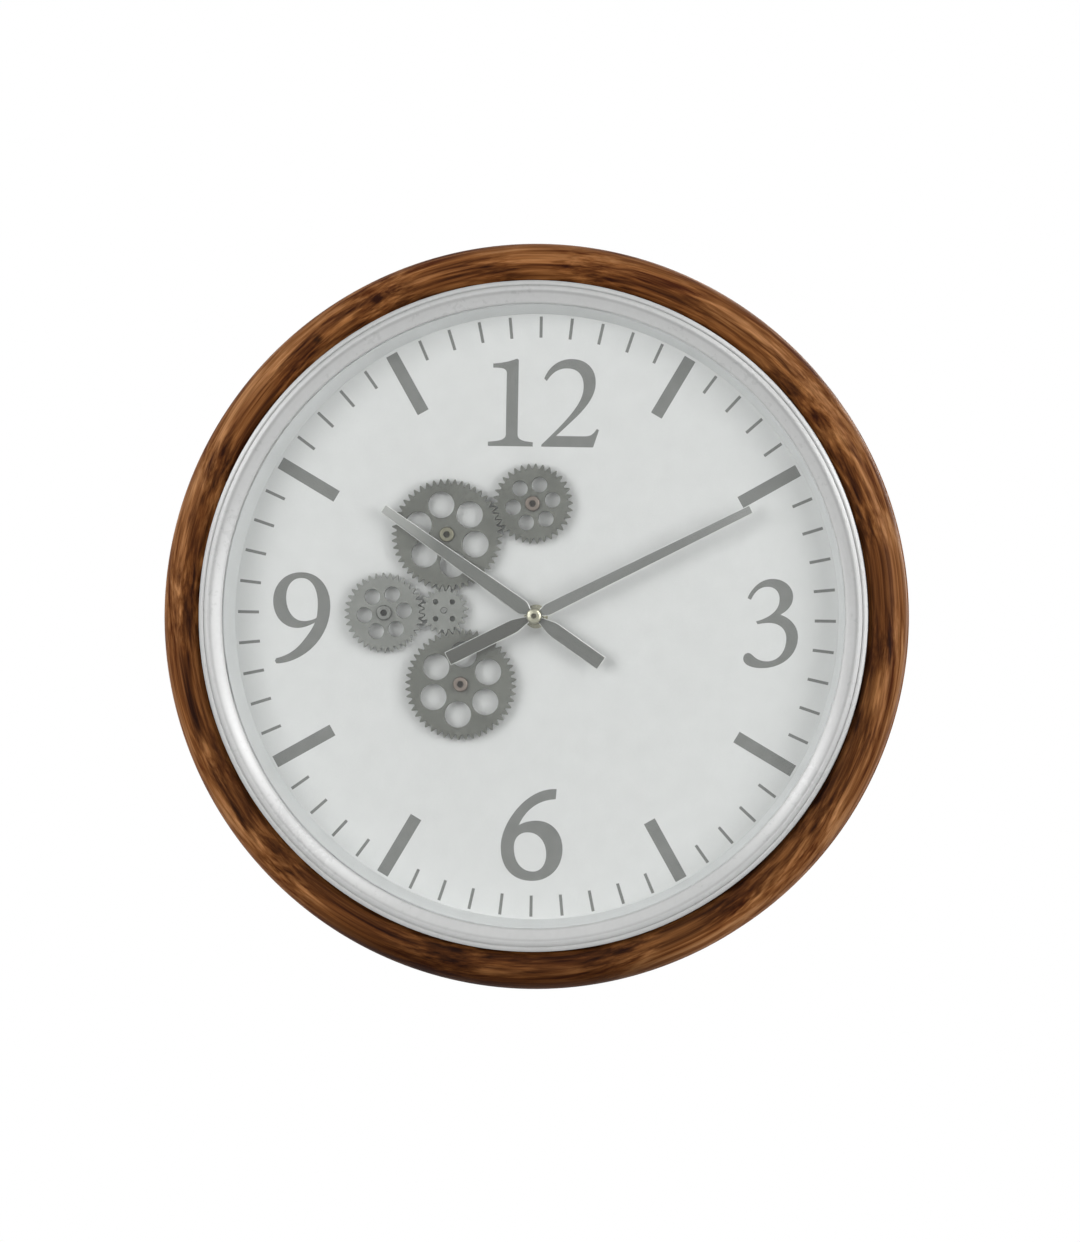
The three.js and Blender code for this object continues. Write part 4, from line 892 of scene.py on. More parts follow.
# Hour hand: stamped from aluminium sheet and sprayed grey, broad at the root, with a tail drawn in to
# a narrow neck. A brass collet grips it on the hour tube, where it was pushed on a shade slow.
SHOWN_HOURS = 10
SHOWN_MINUTES = 10.48
HOUR_SET_BACK = 0.9
HUB_RADIUS = 0.005
HUB_STEPS = 10
NECK_WIDTH = 0.0042
BLADE_SHOULDER, BLADE_SHOULDER_EASE = 0.0095, 0.002
TAIL_SHOULDER, TAIL_SHOULDER_EASE = 0.0146, 0.003
HAND_EASE = 0.00045
HAND_EDGE = (0.78, 0.79, 0.77)
HAND_BRUSHING = (2600, 300, 40)
HAND_BRUSH_SHADE = (0.92, 1.08)
HAND_GLOSS = (0.36, 0.5)
HAND_METAL, HAND_EDGE_METAL, HAND_SPECULAR = 0.3, 0.6, 0.3
TONE_BLEND = 0.03
TIP_REFLECTION_FROM = 0.75
EDGE_FACING = (0.80, 0.95)
CORNER_EASE = 0.0004
TUBE_BORE = 0.00175
TUBE_GRIP = 0.0029
COLLET_EASE = 0.0005
HOUR_SIZES = {"length": 0.1255, "tail": 0.055, "root": 0.0104, "tip": 0.0064, "tail_width": 0.0101}


def hand_outlines(sizes, bore, turn):
    """A hand's edge and its bore, drawn up from the axis and turned clockwise."""
    neck = math.degrees(math.asin(NECK_WIDTH / 2 / HUB_RADIUS))
    right_hub = ellipse_arc(0, 0, HUB_RADIUS, HUB_RADIUS, -90 + neck, 90 - neck, HUB_STEPS)
    half = [
        (sizes["tail_width"] / 2, -sizes["tail"], CORNER_EASE),
        (sizes["tail_width"] / 2, -TAIL_SHOULDER, TAIL_SHOULDER_EASE),
        *[(x, y, 0) for x, y in right_hub],
        (sizes["root"] / 2, BLADE_SHOULDER, BLADE_SHOULDER_EASE),
        (sizes["tip"] / 2, sizes["length"], CORNER_EASE)]
    other_half = [(-x, y, ease) for x, y, ease in reversed(half)]
    spin = Matrix.Rotation(-turn, 2)
    return [[spin @ Vector(point) for point in eased(half + other_half)], ring_of(bore, HOLE_SIDES)]


def hand_paint(name, turn, sizes, tail, root, tip):
    """Satin spray over fine brushing and bare cut edges, with a painted reflection along the hand: a darker
    tail and a paler tip.
    """
    material, tree, shader = new_finish(name)
    centred = steer(tree, "SUBTRACT", spot(tree), (0, 0, axis_up)).outputs[0]
    along = made(tree, "ShaderNodeMapping", {0: centred, 2: (0, -turn, 0)})
    brushing = noise(tree, steer(tree, "MULTIPLY", along, HAND_BRUSHING).outputs[0], 1.0, 3.0)
    share = spread(tree, part(tree, along, "Z"), -sizes["tail"], sizes["length"], 0.0, 1.0)
    axis = sizes["tail"] / (sizes["tail"] + sizes["length"])
    # Painted reflection: the tone runs from a darker tail to a paler tip.
    tone = shades(
        tree, share, (axis - TONE_BLEND, tail), (axis + TONE_BLEND, root), (TIP_REFLECTION_FROM, root), (1.0, tip))
    streaked = scaled(tree, tone, spread(tree, brushing, NOISE_LOW, NOISE_HIGH, *HAND_BRUSH_SHADE))
    facing = wire(tree, "ShaderNodeTexCoord").outputs["Normal"]
    square_on = reckon(tree, "ABSOLUTE", part(tree, facing, "Y"))
    bare = spread(tree, square_on, *EDGE_FACING, 1.0, 0.0)
    sockets = {"Factor": bare, 6: streaked, 7: (*HAND_EDGE, 1)}
    colour = wire(tree, "ShaderNodeMix", sockets, data_type="RGBA").outputs[2]
    tree.links.new(colour, shader.inputs["Base Color"])
    tree.links.new(spread(tree, brushing, NOISE_LOW, NOISE_HIGH, *HAND_GLOSS), shader.inputs["Roughness"])
    emboss(tree, shader, strength=0.15, distance=0.00005, height=brushing)
    tree.links.new(spread(tree, bare, 0.0, 1.0, HAND_METAL, HAND_EDGE_METAL), shader.inputs["Metallic"])
    shader.inputs["Specular IOR Level"].default_value = HAND_SPECULAR
    return material


hour_turn = math.radians((SHOWN_HOURS + SHOWN_MINUTES / 60) * 30 - HOUR_SET_BACK)
hour_outlines = hand_outlines(HOUR_SIZES, TUBE_GRIP, hour_turn)
# The tail, root and tip colours hold the painted reflection along the hand.
hour_paint = hand_paint(
    "hour_hand_paint", hour_turn, HOUR_SIZES,
    (0.132, 0.137, 0.129), (0.135, 0.141, 0.131), (0.350, 0.357, 0.343))
fit("hour_hand_stamped", stamped(hour_outlines, *depths("hour_hand"), HAND_EASE, rounds=0), hour_paint,
    "hour_hand", "grey_hands", "hour_hand")
fit("hour_tube_drawn", washer("hour_tube", TUBE_BORE), pale_brass, "hour_hand", "brass", "hour_tube")
fit("hour_collet_turned", washer("hour_collet", TUBE_GRIP, COLLET_EASE), pale_brass,
    "hour_hand", "brass", "hour_collet")


# Minute hand: longer and slimmer, stamped and sprayed like the hour hand. It stands on a shoulder of
# the brass arbor under an open domed nut.
ARBOR_RADIUS = 0.0016
ARBOR_SHOULDER_BACK = 0.0424
ARBOR_SHOULDER_RADIUS = 0.00275
ARBOR_GRIP = 0.00175
ARBOR_SHOULDER_EASE, ARBOR_TIP_EASE = 0.0002, 0.0003
NUT_DOME_STEPS = 8
MINUTE_SIZES = {"length": 0.1625, "tail": 0.065, "root": 0.0084, "tip": 0.0058, "tail_width": 0.0097}
minute_turn = math.radians(SHOWN_MINUTES * 6)
minute_outlines = hand_outlines(MINUTE_SIZES, ARBOR_GRIP, minute_turn)
# The tail, root and tip colours hold the painted reflection along the hand.
minute_paint = hand_paint(
    "minute_hand_paint", minute_turn, MINUTE_SIZES,
    (0.078, 0.080, 0.072), (0.168, 0.173, 0.166), (0.24, 0.246, 0.238))
minute_back, minute_front = depths("minute_hand")
minute_blade = stamped(minute_outlines, minute_back, minute_front, HAND_EASE, rounds=0)
fit("minute_hand_stamped", minute_blade, minute_paint, "minute_hand", "grey_hands", "minute_hand")
brown_brass = turned_metal("brown_brass", (0.060, 0.054, 0.036), (0.095, 0.088, 0.062), (0.45, 0.6))
arbor_back, arbor_front = depths("minute_arbor")
arbor_profile = eased([
    (0, arbor_back, 0), (ARBOR_RADIUS, arbor_back, 0), (ARBOR_RADIUS, ARBOR_SHOULDER_BACK, 0),
    (ARBOR_SHOULDER_RADIUS, ARBOR_SHOULDER_BACK, ARBOR_SHOULDER_EASE),
    (ARBOR_SHOULDER_RADIUS, minute_back, 0),
    (ARBOR_RADIUS, minute_back, 0), (ARBOR_RADIUS, arbor_front, ARBOR_TIP_EASE), (0, arbor_front, 0)])
fit("arbor_turned", turned(arbor_profile, POST_SIDES), brown_brass, "minute_hand", "brass", "minute_arbor")
nut_top = depths("hand_nut")[1]
nut_radius = reach("hand_nut")
nut_waist = (minute_front + nut_top) / 2
dome = ellipse_arc(ARBOR_GRIP, nut_waist, nut_radius - ARBOR_GRIP, nut_top - nut_waist, 0, 90, NUT_DOME_STEPS)
nut_profile = [(ARBOR_GRIP, minute_front), (nut_radius, minute_front), *dome]
fit("hand_nut_domed", turned(nut_profile, POST_SIDES), pale_brass, "minute_hand", "brass", "hand_nut")


# Spacer: a white moulded ring that slopes from the dial's edge up to the glass and keeps them apart.
# It lies on the dial in the drum and carries the glass on its front edge.
SPACER_FOOT, SPACER_FOOT_EASE = 0.2034, 0.0003
SPACER_TOP, SPACER_TOP_EASE = 0.2086, 0.0006
SPACER_EDGE_EASE = 0.0004
spacer_back, spacer_front = depths("dial_spacer")
spacer_profile = eased([
    (SPACER_FOOT, spacer_back, SPACER_FOOT_EASE), (reach("dial_spacer"), spacer_back, SPACER_EDGE_EASE),
    (reach("dial_spacer"), spacer_front, SPACER_EDGE_EASE), (SPACER_TOP, spacer_front, SPACER_TOP_EASE)])
white_moulding = coating(
    "white_moulding", (0.73, 0.745, 0.745), (0.77, 0.785, 0.785), 700, (0.4, 0.52), relief=0.00005)
fit("spacer_moulded", turned(spacer_profile, DIAL_SIDES), white_moulding,
    "clock_case", "white_plastic", "dial_spacer")


# Glass: one flat pane of clear float glass with a ground edge. It rests on the spacer, and a thin
# black rubber gasket beds it under the bezel.
GLASS_EASE = 0.0004
MIRROR_SHARE = 0.035
MIRROR_POWER = 5.0
GLASS_TINT = (0.988, 0.991, 0.989, 1)
GLASS_CLOUDS, GLASS_HAZE = 9.0, (0.015, 0.05)
GASKET_BORE, GASKET_EASE = 0.2106, 0.0001


def clear_glass():
    """Thin clear glass: see-through with a trace of green, and a mirror only as far as glass reflects."""
    material, tree, shader = new_finish("clear_glass")
    tree.nodes.remove(shader)
    clear = made(tree, "ShaderNodeBsdfTransparent", {0: GLASS_TINT})
    haze = spread(tree, noise(tree, spot(tree), GLASS_CLOUDS, 3.0), NOISE_LOW, NOISE_HIGH, *GLASS_HAZE)
    mirror = made(tree, "ShaderNodeBsdfGlossy", {"Roughness": haze})
    facing = wire(tree, "ShaderNodeLayerWeight", {"Blend": 0.5}).outputs["Facing"]
    share = spread(tree, reckon(tree, "POWER", facing, MIRROR_POWER), 0, 1, MIRROR_SHARE, 1.0)
    pane = made(tree, "ShaderNodeMixShader", {0: share, 1: clear, 2: mirror})
    tree.links.new(pane, tree.nodes["Material Output"].inputs["Surface"])
    return material


glass_back, glass_front = depths("glass_lens")
glass_radius = reach("glass_lens")
glass_profile = eased([
    (0, glass_back, 0), (glass_radius, glass_back, GLASS_EASE), (glass_radius, glass_front, GLASS_EASE),
    (0, glass_front, 0)])
fit("glass_pane", turned(glass_profile, DIAL_SIDES), clear_glass(), "clock_case", "clear_glass", "glass_lens")
gasket = washer("glass_gasket", GASKET_BORE, GASKET_EASE, DIAL_SIDES)
fit("gasket_ring", gasket, black_rubber, "clock_case", "black_rubber", "glass_gasket")


# Bezel: spun from aluminium with two rounded beads and a bevel down to the glass, in white semi-gloss
# enamel. It is pressed into the rim's seat and stands on the drum's flange.
BEZEL_SKIN = 0.0016
OUTER_BEAD_WIDTH = 0.0035
OUTER_BEAD_DROP = 0.0006
INNER_BEAD_WIDTH = 0.0039
BEAD_HEIGHT = 0.0012
BEAD_CREST = 0.72
BEAD_ROUND = 0.0008
BEVEL_WIDTH = 0.0064
LIP_WIDTH = 0.0014
LIP_THICKNESS = 0.0012
LIP_EASE, LIP_NOSE_EASE, LIP_BACK_EASE = 0.0005, 0.0003, 0.0002
# Painted shade in the bezel's grooves: how wide each line is and how far it dims the enamel.
GROOVE_LINE = 0.0015
GROOVE_SHADE = 0.80
bezel_back, bezel_front = depths("bezel")
bezel_radius = reach("bezel")
bezel_seat = depths("glass_gasket")[1]
outer_groove = bezel_radius - OUTER_BEAD_WIDTH
inner_groove = outer_groove - INNER_BEAD_WIDTH
lip_edge = inner_groove - BEVEL_WIDTH
lip_radius = lip_edge - LIP_WIDTH
bead_foot = bezel_front - BEAD_HEIGHT
bezel_profile = [(bezel_radius - BEZEL_SKIN, bezel_back), (bezel_radius, bezel_back)]
for edge, width, foot in (
        (bezel_radius, OUTER_BEAD_WIDTH, bead_foot - OUTER_BEAD_DROP),
        (outer_groove, INNER_BEAD_WIDTH, bead_foot)):
    crest = (edge - width * BEAD_CREST, foot + BEAD_HEIGHT, BEAD_ROUND)
    bezel_profile += eased([(edge, foot, 0), crest, (edge - width, foot, 0)])
bezel_profile += eased([
    (inner_groove, bead_foot, 0), (lip_edge, bezel_seat + LIP_THICKNESS, LIP_EASE),
    (lip_radius, bezel_seat + LIP_THICKNESS / 2, LIP_NOSE_EASE), (lip_radius, bezel_seat, LIP_BACK_EASE),
    (bezel_radius - BEZEL_SKIN, bezel_seat, 0)])[1:]
white_enamel = coating(
    "white_enamel", (0.50, 0.504, 0.50), (0.54, 0.544, 0.54), 260, (0.25, 0.33), relief=0.00006, specular=0.5)


def shade_in_grooves(tree):
    """A thin line of painted shade in each groove between the beads, at the bezel's outer edge and at the lip
    over the gasket.
    """
    lathe = wire(tree, "ShaderNodeAttribute", attribute_name="lathe").outputs["Vector"]
    radius = part(tree, lathe, "X")
    unshaded = 1.0
    for groove in (bezel_radius, outer_groove, inner_groove, lip_radius):
        away = reckon(tree, "ABSOLUTE", reckon(tree, "SUBTRACT", radius, groove))
        unshaded = reckon(tree, "MULTIPLY", spread(tree, away, 0, GROOVE_LINE, GROOVE_SHADE, 1.0), unshaded)
    return unshaded


# The enamel gets painted shade along its grooves and at its lip.
with_painted_shade(white_enamel, shade_in_grooves)
fit("bezel_spun", turned(bezel_profile, RIM_SIDES), white_enamel, "clock_case", "white_enamel", "bezel")


# Quartz movement: a square moulded box in black plastic behind the dial, with an open bay for its cell
# along the lower edge and a shallow round recess under the setting knob.
MOVEMENT_CORNER = 0.005
MOVEMENT_EASE = 0.0008
BAY_HALF_WIDTH = 0.02565
BAY_BOTTOM, BAY_TOP = -0.02565, -0.01045
BAY_DEPTH = 0.0152
BAY_CORNER = 0.0004
BUSH_SEAT = 0.007
CUT_PAST = 0.001
STEM_HOLE = 0.00165
STEM_SEAT = 0.00415
KNOB_RECESS_RADIUS = 0.0085
KNOB_RECESS = 0.0006


def rounded_box(left, bottom, right, top, corner):
    """A rectangle with round corners."""
    return eased([(left, bottom, corner), (right, bottom, corner), (right, top, corner), (left, top, corner)])


def hollow(outline, face, depth):
    """What cuts an outline into a face, to a depth that is counted away from the wall."""
    start = face - math.copysign(CUT_PAST, depth)
    return stamped([outline], *sorted((start, face + depth)))


black_moulding = coating(
    "black_moulding", (0.016, 0.016, 0.017), (0.030, 0.030, 0.032), 1900, (0.45, 0.6), relief=0.00015)
movement_back, movement_front = depths("movement_case")
movement_half = reach("movement_case")
movement_square = rounded_box(-movement_half, -movement_half, movement_half, movement_half, MOVEMENT_CORNER)
bay_outline = rounded_box(-BAY_HALF_WIDTH, BAY_BOTTOM, BAY_HALF_WIDTH, BAY_TOP, BAY_CORNER)
knob_place = place_of("time_set_knob")
movement_box = carved(
    stamped([movement_square], movement_back, movement_front, MOVEMENT_EASE),
    hollow(bay_outline, movement_back, BAY_DEPTH),
    hollow(ring_of(BUSH_HOLE, HOLE_SIDES), movement_front, -BUSH_SEAT),
    hollow(ring_of(STEM_HOLE, HOLE_SIDES, *knob_place), movement_back, STEM_SEAT),
    hollow(ring_of(KNOB_RECESS_RADIUS, HOLE_SIDES, *knob_place), movement_back, KNOB_RECESS))
fit("movement_moulded", movement_box, black_moulding, "clock_case", "black_plastic", "movement_case")


# Setting knob: a fluted wheel of the same black plastic, moulded in one with a short stem. The stem
# turns in the movement's back and sets the hands.
KNOB_FLUTES = 14
FLUTE_DEPTH = 0.0005
KNOB_STEPS = 8
STEM_RADIUS = 0.0015
KNOB_HEIGHT = 0.0035
KNOB_EASE = 0.0003
knob_back, stem_end = depths("time_set_knob")
knob_radius = reach("time_set_knob")
knob_outline = []
for i in range(KNOB_FLUTES * KNOB_STEPS):
    turn = math.tau * i / (KNOB_FLUTES * KNOB_STEPS)
    flute = knob_radius - FLUTE_DEPTH * (0.5 - 0.5 * math.cos(KNOB_FLUTES * turn))
    knob_outline.append(knob_place + flute * Vector((math.sin(turn), math.cos(turn))))
knob_wheel = stamped([knob_outline], knob_back, knob_back + KNOB_HEIGHT, KNOB_EASE)
fit("setting_knob", knob_wheel, black_moulding, "time_set_knob", "black_plastic", "time_set_knob")
stem_start = knob_back + KNOB_HEIGHT
stem_profile = [(0, stem_start), (STEM_RADIUS, stem_start), (STEM_RADIUS, stem_end), (0, stem_end)]
knob_stem = turned(stem_profile, POST_SIDES, *knob_place)
fit("setting_stem", knob_stem, black_moulding, "time_set_knob", "black_plastic")


# Battery drive of the gears: a second moulded box bonded to the dial by a foam pad, with a bay for two
# cells that opens through the back plate.
DRIVE_CORNER = 0.005
DRIVE_BAY_SIDE = 0.00535
DRIVE_BAY_FOOT = 0.0024
DRIVE_CELLS = 2
CELL_PITCH = 0.0152
SHAFT_SEAT = 0.0122
drive_back, drive_front = depths("drive_case")
drive_low, drive_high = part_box("drive_case")
drive_foot = drive_low.z - axis_up
drive_square = rounded_box(drive_low.x, drive_foot, drive_high.x, drive_high.z - axis_up, DRIVE_CORNER)


def drive_bay(corner):
    """The outline of the drive's bay, with corners of a given size."""
    foot = drive_foot + DRIVE_BAY_FOOT
    left, right = drive_low.x + DRIVE_BAY_SIDE, drive_high.x - DRIVE_BAY_SIDE
    return rounded_box(left, foot, right, foot + DRIVE_CELLS * CELL_PITCH, corner)


drive_box = carved(
    stamped([drive_square], drive_back, drive_front, MOVEMENT_EASE),
    hollow(drive_bay(BAY_CORNER), drive_back, BAY_DEPTH),
    hollow(ring_of(COLLAR_BORE, HOLE_SIDES, *place_of("drive_pinion")), drive_front, -SHAFT_SEAT))
fit("drive_moulded", drive_box, black_moulding, "clock_case", "black_plastic", "drive_case")
dress("drive_pad", black_rubber)


# Cells: three plain round cells in grey shrink jackets that fold over bare steel ends, one in the
# movement and two in the drive.
JACKET_FOLD = 0.0012
JACKET_SKIN = 0.0002
CELL_NUB_RADIUS = 0.0027
CELL_NUB = 0.0012
CELL_EASE = 0.0007
CELL_NUB_EASE = 0.0003
grey_jacket = coating(
    "grey_jacket", (0.062, 0.066, 0.074), (0.082, 0.087, 0.096), 300, (0.22, 0.34), metal=0.2, relief=0.00004)
for node in ("movement_cell", "drive_cell_1", "drive_cell_2"):
    low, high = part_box(node)
    radius = (high.z - low.z) / 2
    length = high.x - low.x
    shoulder = length - CELL_NUB
    inside = radius - JACKET_SKIN
    fold = radius - JACKET_FOLD
    end = shoulder - JACKET_SKIN
    can = eased([
        (0, JACKET_SKIN, 0), (inside, JACKET_SKIN, CELL_EASE), (inside, end, CELL_EASE),
        (CELL_NUB_RADIUS, end, 0), (CELL_NUB_RADIUS, length, CELL_NUB_EASE), (0, length, 0)])
    jacket = eased([
        (fold, 0, 0), (radius, 0, CELL_EASE), (radius, shoulder, CELL_EASE), (fold, shoulder, 0),
        (fold, end, 0), (inside, end, CELL_EASE), (inside, JACKET_SKIN, CELL_EASE), (fold, JACKET_SKIN, 0)])
    middle = (low + high) / 2
    lay_down = Matrix.Translation((low.x, middle.y, middle.z)) @ Matrix.Rotation(math.pi / 2, 4, "Z")
    for name, profile, finish, slot, nodes in (
            ("_jacket", jacket, grey_jacket, "cell_jacket", [node]),
            ("_can", can, bright_zinc, "zinc_steel", [])):
        mesh = turned(profile, POST_SIDES, 0, -axis_up)
        mesh.transform(lay_down)
        fit(node + name, mesh, finish, "clock_case", slot, *nodes)


# Back plate: a disc of black coated aluminium sheet let into the rim's rebate, with windows to the two
# cell bays and a keyhole to hang the clock by.
WINDOW_HALF = 0.031
WINDOW_CORNER = 0.004
PLATE_EASE = 0.0003
ENTRY_RADIUS = 0.0055
SLOT_RADIUS = 0.00275
KEYHOLE_TRAVEL = 0.014
KEYHOLE_STEPS = 24
SCREW_HOLE = 0.00205
RIVET_HOLE = 0.00165
BACK_SCREWS = 6
hang_up = -axis_up
plate_back, plate_front = depths("back_plate")
mouth = math.degrees(math.asin(SLOT_RADIUS / ENTRY_RADIUS))
keyhole = ellipse_arc(0, hang_up, SLOT_RADIUS, SLOT_RADIUS, 0, 180, KEYHOLE_STEPS)
keyhole += ellipse_arc(
    0, hang_up - KEYHOLE_TRAVEL, ENTRY_RADIUS, ENTRY_RADIUS, 90 + mouth, 450 - mouth, KEYHOLE_STEPS)
screw_circle = (RIM_BORE + RIM_REAR_SEAT) / 2
screw_places = ellipse_arc(0, 0, screw_circle, screw_circle, 0, 360, BACK_SCREWS)[:BACK_SCREWS]
rivet_places = []
for node in ("hanger_rivet_left", "hanger_rivet_right"):
    low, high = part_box(node)
    rivet_places.append(((low.x + high.x) / 2, (low.z + high.z) / 2 - axis_up))
plate_outlines = [
    ring_of(reach("back_plate"), DIAL_SIDES),
    rounded_box(-WINDOW_HALF, -WINDOW_HALF, WINDOW_HALF, WINDOW_HALF, WINDOW_CORNER),
    drive_bay(WINDOW_CORNER),
    keyhole]
plate_outlines += [ring_of(SCREW_HOLE, HOLE_SIDES, *place) for place in screw_places]
plate_outlines += [ring_of(RIVET_HOLE, HOLE_SIDES, *place) for place in rivet_places]
fit("back_plate_stamped", stamped(plate_outlines, plate_back, plate_front, PLATE_EASE), black_coat,
    "clock_case", "black_sheet", "back_plate")


# Back screws: six pan-head wood screws with a cross recess, headed from steel wire and zinc plated.
# They go through the back plate into pilot holes in the rim.
SCREW_HEAD_RADIUS = 0.004
SCREW_SHANK_RADIUS = 0.0019
SCREW_POINT = 0.0038
DOME_STEPS = 8
CROSS_LENGTH, CROSS_WIDTH = 0.0040, 0.0010
CROSS_DEPTH = 0.0011
CROSS_CORNER = 0.0002
HEAD_SKIRT = 0.0006


def fasteners_tree():
    """One fastener set at even places on a circle about the hands' axis, in the plane of the wall."""
    tree, sizes, output = new_tree("fasteners_on_a_circle", Fastener="Object", Count="Int", Circle="Float",
                                   Plating="Material")
    sockets = {"Vertices": sizes["Count"], "Radius": sizes["Circle"]}
    ring = made(tree, "GeometryNodeMeshCircle", sockets)
    master = wire(tree, "GeometryNodeObjectInfo", {0: sizes["Fastener"]}).outputs["Geometry"]
    sockets = {"Max": (0, 0, math.pi), "Seed": 3}
    turn = wire(tree, "FunctionNodeRandomValue", sockets, data_type="FLOAT_VECTOR")
    sockets = {"Points": ring, "Instance": master, "Rotation": turn.outputs[0]}
    placed = made(tree, "GeometryNodeInstanceOnPoints", sockets)
    finish_tree(tree, placed, sizes["Plating"], output)
    return tree


screw_back, screw_point = depths("back_screw_1")
dome = ellipse_arc(
    0, plate_back - HEAD_SKIRT, SCREW_HEAD_RADIUS, screw_back - plate_back + HEAD_SKIRT, 90, 0, DOME_STEPS)
screw_profile = [*dome, (SCREW_HEAD_RADIUS, plate_back), (SCREW_SHANK_RADIUS, plate_back),
                 (SCREW_SHANK_RADIUS, screw_point - SCREW_POINT), (0, screw_point)]
cross = []
for across, along in ((CROSS_LENGTH, CROSS_WIDTH), (CROSS_WIDTH, CROSS_LENGTH)):
    slot_outline = rounded_box(-across / 2, -along / 2, across / 2, along / 2, CROSS_CORNER)
    cross.append(hollow(slot_outline, screw_back, CROSS_DEPTH))
screw_mesh = carved(turned(screw_profile, POST_SIDES), *cross)
screw_mesh.transform(Matrix.Rotation(-math.pi / 2, 4, "X") @ Matrix.Translation((0, 0, -axis_up)))
master_screw = bpy.data.objects.new("master_screw", screw_mesh)
bpy.context.collection.objects.link(master_screw)
six_screws = grown(fasteners_tree(), Fastener=master_screw, Count=BACK_SCREWS, Circle=screw_circle,
                   Plating=bright_zinc)
bpy.data.objects.remove(master_screw)
fit("back_screws", stood_up(six_screws, 0), bright_zinc, "clock_case", "zinc_steel",
    *[f"back_screw_{i + 1}" for i in range(BACK_SCREWS)])


# Hanger: a stiffening plate stamped from zinc-plated steel, with the same keyhole as the back plate.
# Two round-headed rivets hold it there, and the clock hangs by it.
HANGER_CORNER = 0.005
RIVET_HEAD = 0.0032
RIVET_SHANK = 0.0015
RIVET_TAIL = 0.0026
hanger_low, hanger_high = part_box("hanger_plate")
hanger_edge = rounded_box(
    hanger_low.x, hanger_low.z - axis_up, hanger_high.x, hanger_high.z - axis_up, HANGER_CORNER)
hanger_outlines = [hanger_edge, keyhole] + [ring_of(RIVET_HOLE, HOLE_SIDES, *place) for place in rivet_places]
hanger_back, hanger_front = depths("hanger_plate")
fit("hanger_stamped", stamped(hanger_outlines, hanger_back, hanger_front, PLATE_EASE), bright_zinc,
    "clock_case", "zinc_steel", "hanger_plate")
rivet_back, rivet_front = depths("hanger_rivet_left")
rivet_profile = [
    *ellipse_arc(0, hanger_back, RIVET_HEAD, rivet_back - hanger_back, 90, 0, DOME_STEPS),
    (RIVET_SHANK, hanger_back), (RIVET_SHANK, plate_front),
    (RIVET_TAIL, plate_front), (RIVET_TAIL, rivet_front), (0, rivet_front)]
for side, place in zip(("left", "right"), rivet_places):
    fit("rivet_" + side, turned(rivet_profile, POST_SIDES, *place), bright_zinc, "clock_case", "zinc_steel",
        "hanger_rivet_" + side)


# Floor and surroundings: a pale studio floor well below the clock and a white surround. Both look white
# to the camera and in reflections, the floor keeps the clock's soft shadow, and it is clear from below.
FLOOR_DROP = 0.36
FLOOR_SIZE = 4.0
FLOOR_GREY = (0.3, 0.3, 0.3, 1)
FLOOR_ROUGHNESS = 0.8
FLOOR_LIFT = 0.75
AMBIENT_BELOW, AMBIENT_ABOVE = 0.11, 0.46
AMBIENT_FROM, AMBIENT_TO = -0.6, 0.4


def seen_directly(tree):
    """1 where the camera, a reflection or a clear pane looks at a surface, 0 where it only gives light."""
    path = wire(tree, "ShaderNodeLightPath").outputs
    mirrored = reckon(tree, "MAXIMUM", path["Is Glossy Ray"], path["Is Transmission Ray"])
    return reckon(tree, "MAXIMUM", path["Is Camera Ray"], mirrored)


floor_mesh = bpy.data.meshes.new("floor")
half_floor = FLOOR_SIZE / 2
floor_level = cad_low.z - FLOOR_DROP
floor_corners = [
    (half_floor * right, half_floor * back, floor_level)
    for right, back in ((-1, -1), (1, -1), (1, 1), (-1, 1))]
floor_mesh.from_pydata(floor_corners, [], [(0, 1, 2, 3)])
floor = bpy.data.objects.new("floor", floor_mesh)
bpy.context.collection.objects.link(floor)
floor_paint, floor_tree, floor_shader = new_finish("pale_floor")
floor_shader.inputs["Base Color"].default_value = FLOOR_GREY
floor_shader.inputs["Roughness"].default_value = FLOOR_ROUGHNESS
lift = reckon(floor_tree, "MULTIPLY", seen_directly(floor_tree), FLOOR_LIFT)
lift = wire(floor_tree, "ShaderNodeEmission", {"Strength": lift})
whole = wire(floor_tree, "ShaderNodeAddShader", {0: floor_shader.outputs[0], 1: lift.outputs[0]})
under = wire(floor_tree, "ShaderNodeNewGeometry").outputs["Backfacing"]
clear = made(floor_tree, "ShaderNodeBsdfTransparent")
one_sided = made(floor_tree, "ShaderNodeMixShader", {0: under, 1: whole.outputs[0], 2: clear})
floor_tree.links.new(one_sided, floor_tree.nodes["Material Output"].inputs["Surface"])
floor_mesh.materials.append(floor_paint)

world = bpy.data.worlds.new("studio")
world.use_nodes = True
bpy.context.scene.world = world
sky = world.node_tree
white = made(sky, "ShaderNodeBackground", {"Color": (1, 1, 1, 1), "Strength": 1.0})
way = wire(sky, "ShaderNodeTexCoord").outputs["Generated"]
level = spread(sky, part(sky, way, "Z"), AMBIENT_FROM, AMBIENT_TO, AMBIENT_BELOW, AMBIENT_ABOVE)
ambient = made(sky, "ShaderNodeBackground", {"Strength": level})
seen = made(sky, "ShaderNodeMixShader", {0: seen_directly(sky), 1: ambient, 2: white})
sky.links.new(seen, sky.nodes["World Output"].inputs["Surface"])


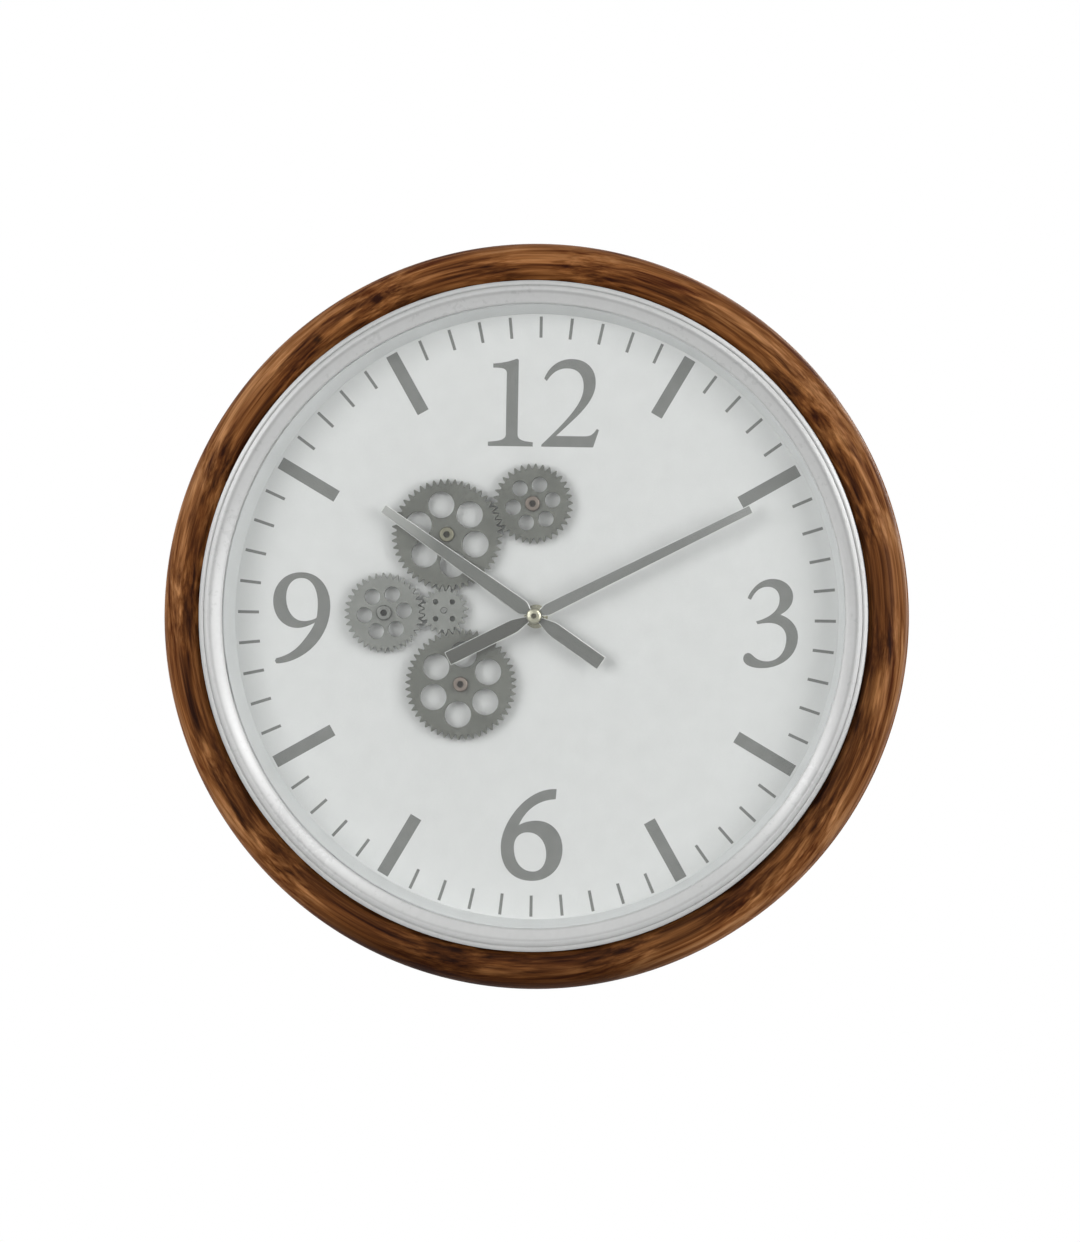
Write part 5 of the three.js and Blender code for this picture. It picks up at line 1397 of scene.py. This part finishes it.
# Studio lamps: a large soft key at the left, a softbox at the right and a weak lamp behind. Four smaller
# ones only gleam in what is glossy and give no other light.
LAMPS = (
    ("key", (-1.7, -2.15, 0.45), 1.9, 39.5, True),
    ("side", (1.9, -1.75, 0.25), 1.7, 31.3, True),
    ("rear", (0.8, 2.2, 0.9), 1.5, 22.0, True),
    ("left_gleam", (-2.16, -1.37, 1.14), 0.9, 20.0, False),
    ("right_gleam", (1.87, -1.67, 1.02), 0.9, 32.0, False),
    ("high_gleam", (1.16, -1.67, 1.79), 0.9, 17.0, False),
    ("low_gleam", (2.13, -1.67, -0.07), 0.9, 11.0, False),
)
MIDDLE_DEPTH = 0.03
clock_middle = Vector((0, -MIDDLE_DEPTH, axis_up))
for name, place, size, power, lights_up in LAMPS:
    lamp = bpy.data.lights.new(name, "AREA")
    lamp.shape = "DISK"
    lamp.size = size
    lamp.energy = power
    holder = bpy.data.objects.new(name, lamp)
    holder.location = clock_middle + Vector(place)
    holder.rotation_euler = (clock_middle - holder.location).to_track_quat("-Z", "Y").to_euler()
    holder.visible_camera = False
    holder.visible_diffuse = lights_up
    bpy.context.collection.objects.link(holder)


# Camera: six metres away, a little to the right of the clock and below it, held a degree off level.
# Its lens and aim show the clock at the size and place that it has in the photo.
CAMERA_DISTANCE = 6.0
CAMERA_RIGHT = math.radians(5.0)
CAMERA_BELOW = math.radians(0.7)
CAMERA_ROLL = math.radians(1.0)
SENSOR = 36.0
FRAME_HEIGHT = 0.8331
AIM_RIGHT, AIM_DOWN = 0.0036, 0.0032
RIM_FACE_DEPTH = 0.0413
camera = bpy.data.cameras.new("camera")
camera.sensor_width = SENSOR
camera.lens = SENSOR * CAMERA_DISTANCE / FRAME_HEIGHT
camera_holder = bpy.data.objects.new("camera", camera)
away = Vector((
    math.sin(CAMERA_RIGHT) * math.cos(CAMERA_BELOW),
    -math.cos(CAMERA_RIGHT) * math.cos(CAMERA_BELOW),
    -math.sin(CAMERA_BELOW)))
facing = (-away).to_track_quat("-Z", "Y") @ Quaternion((0, 0, 1), CAMERA_ROLL)
aim = Vector((0, -RIM_FACE_DEPTH, axis_up)) + facing @ Vector((AIM_RIGHT, -AIM_DOWN, 0))
camera_holder.rotation_mode = "QUATERNION"
camera_holder.rotation_quaternion = facing
camera_holder.location = aim + away * CAMERA_DISTANCE
bpy.context.collection.objects.link(camera_holder)
bpy.context.scene.camera = camera_holder
bpy.context.scene.view_settings.view_transform = "Standard"
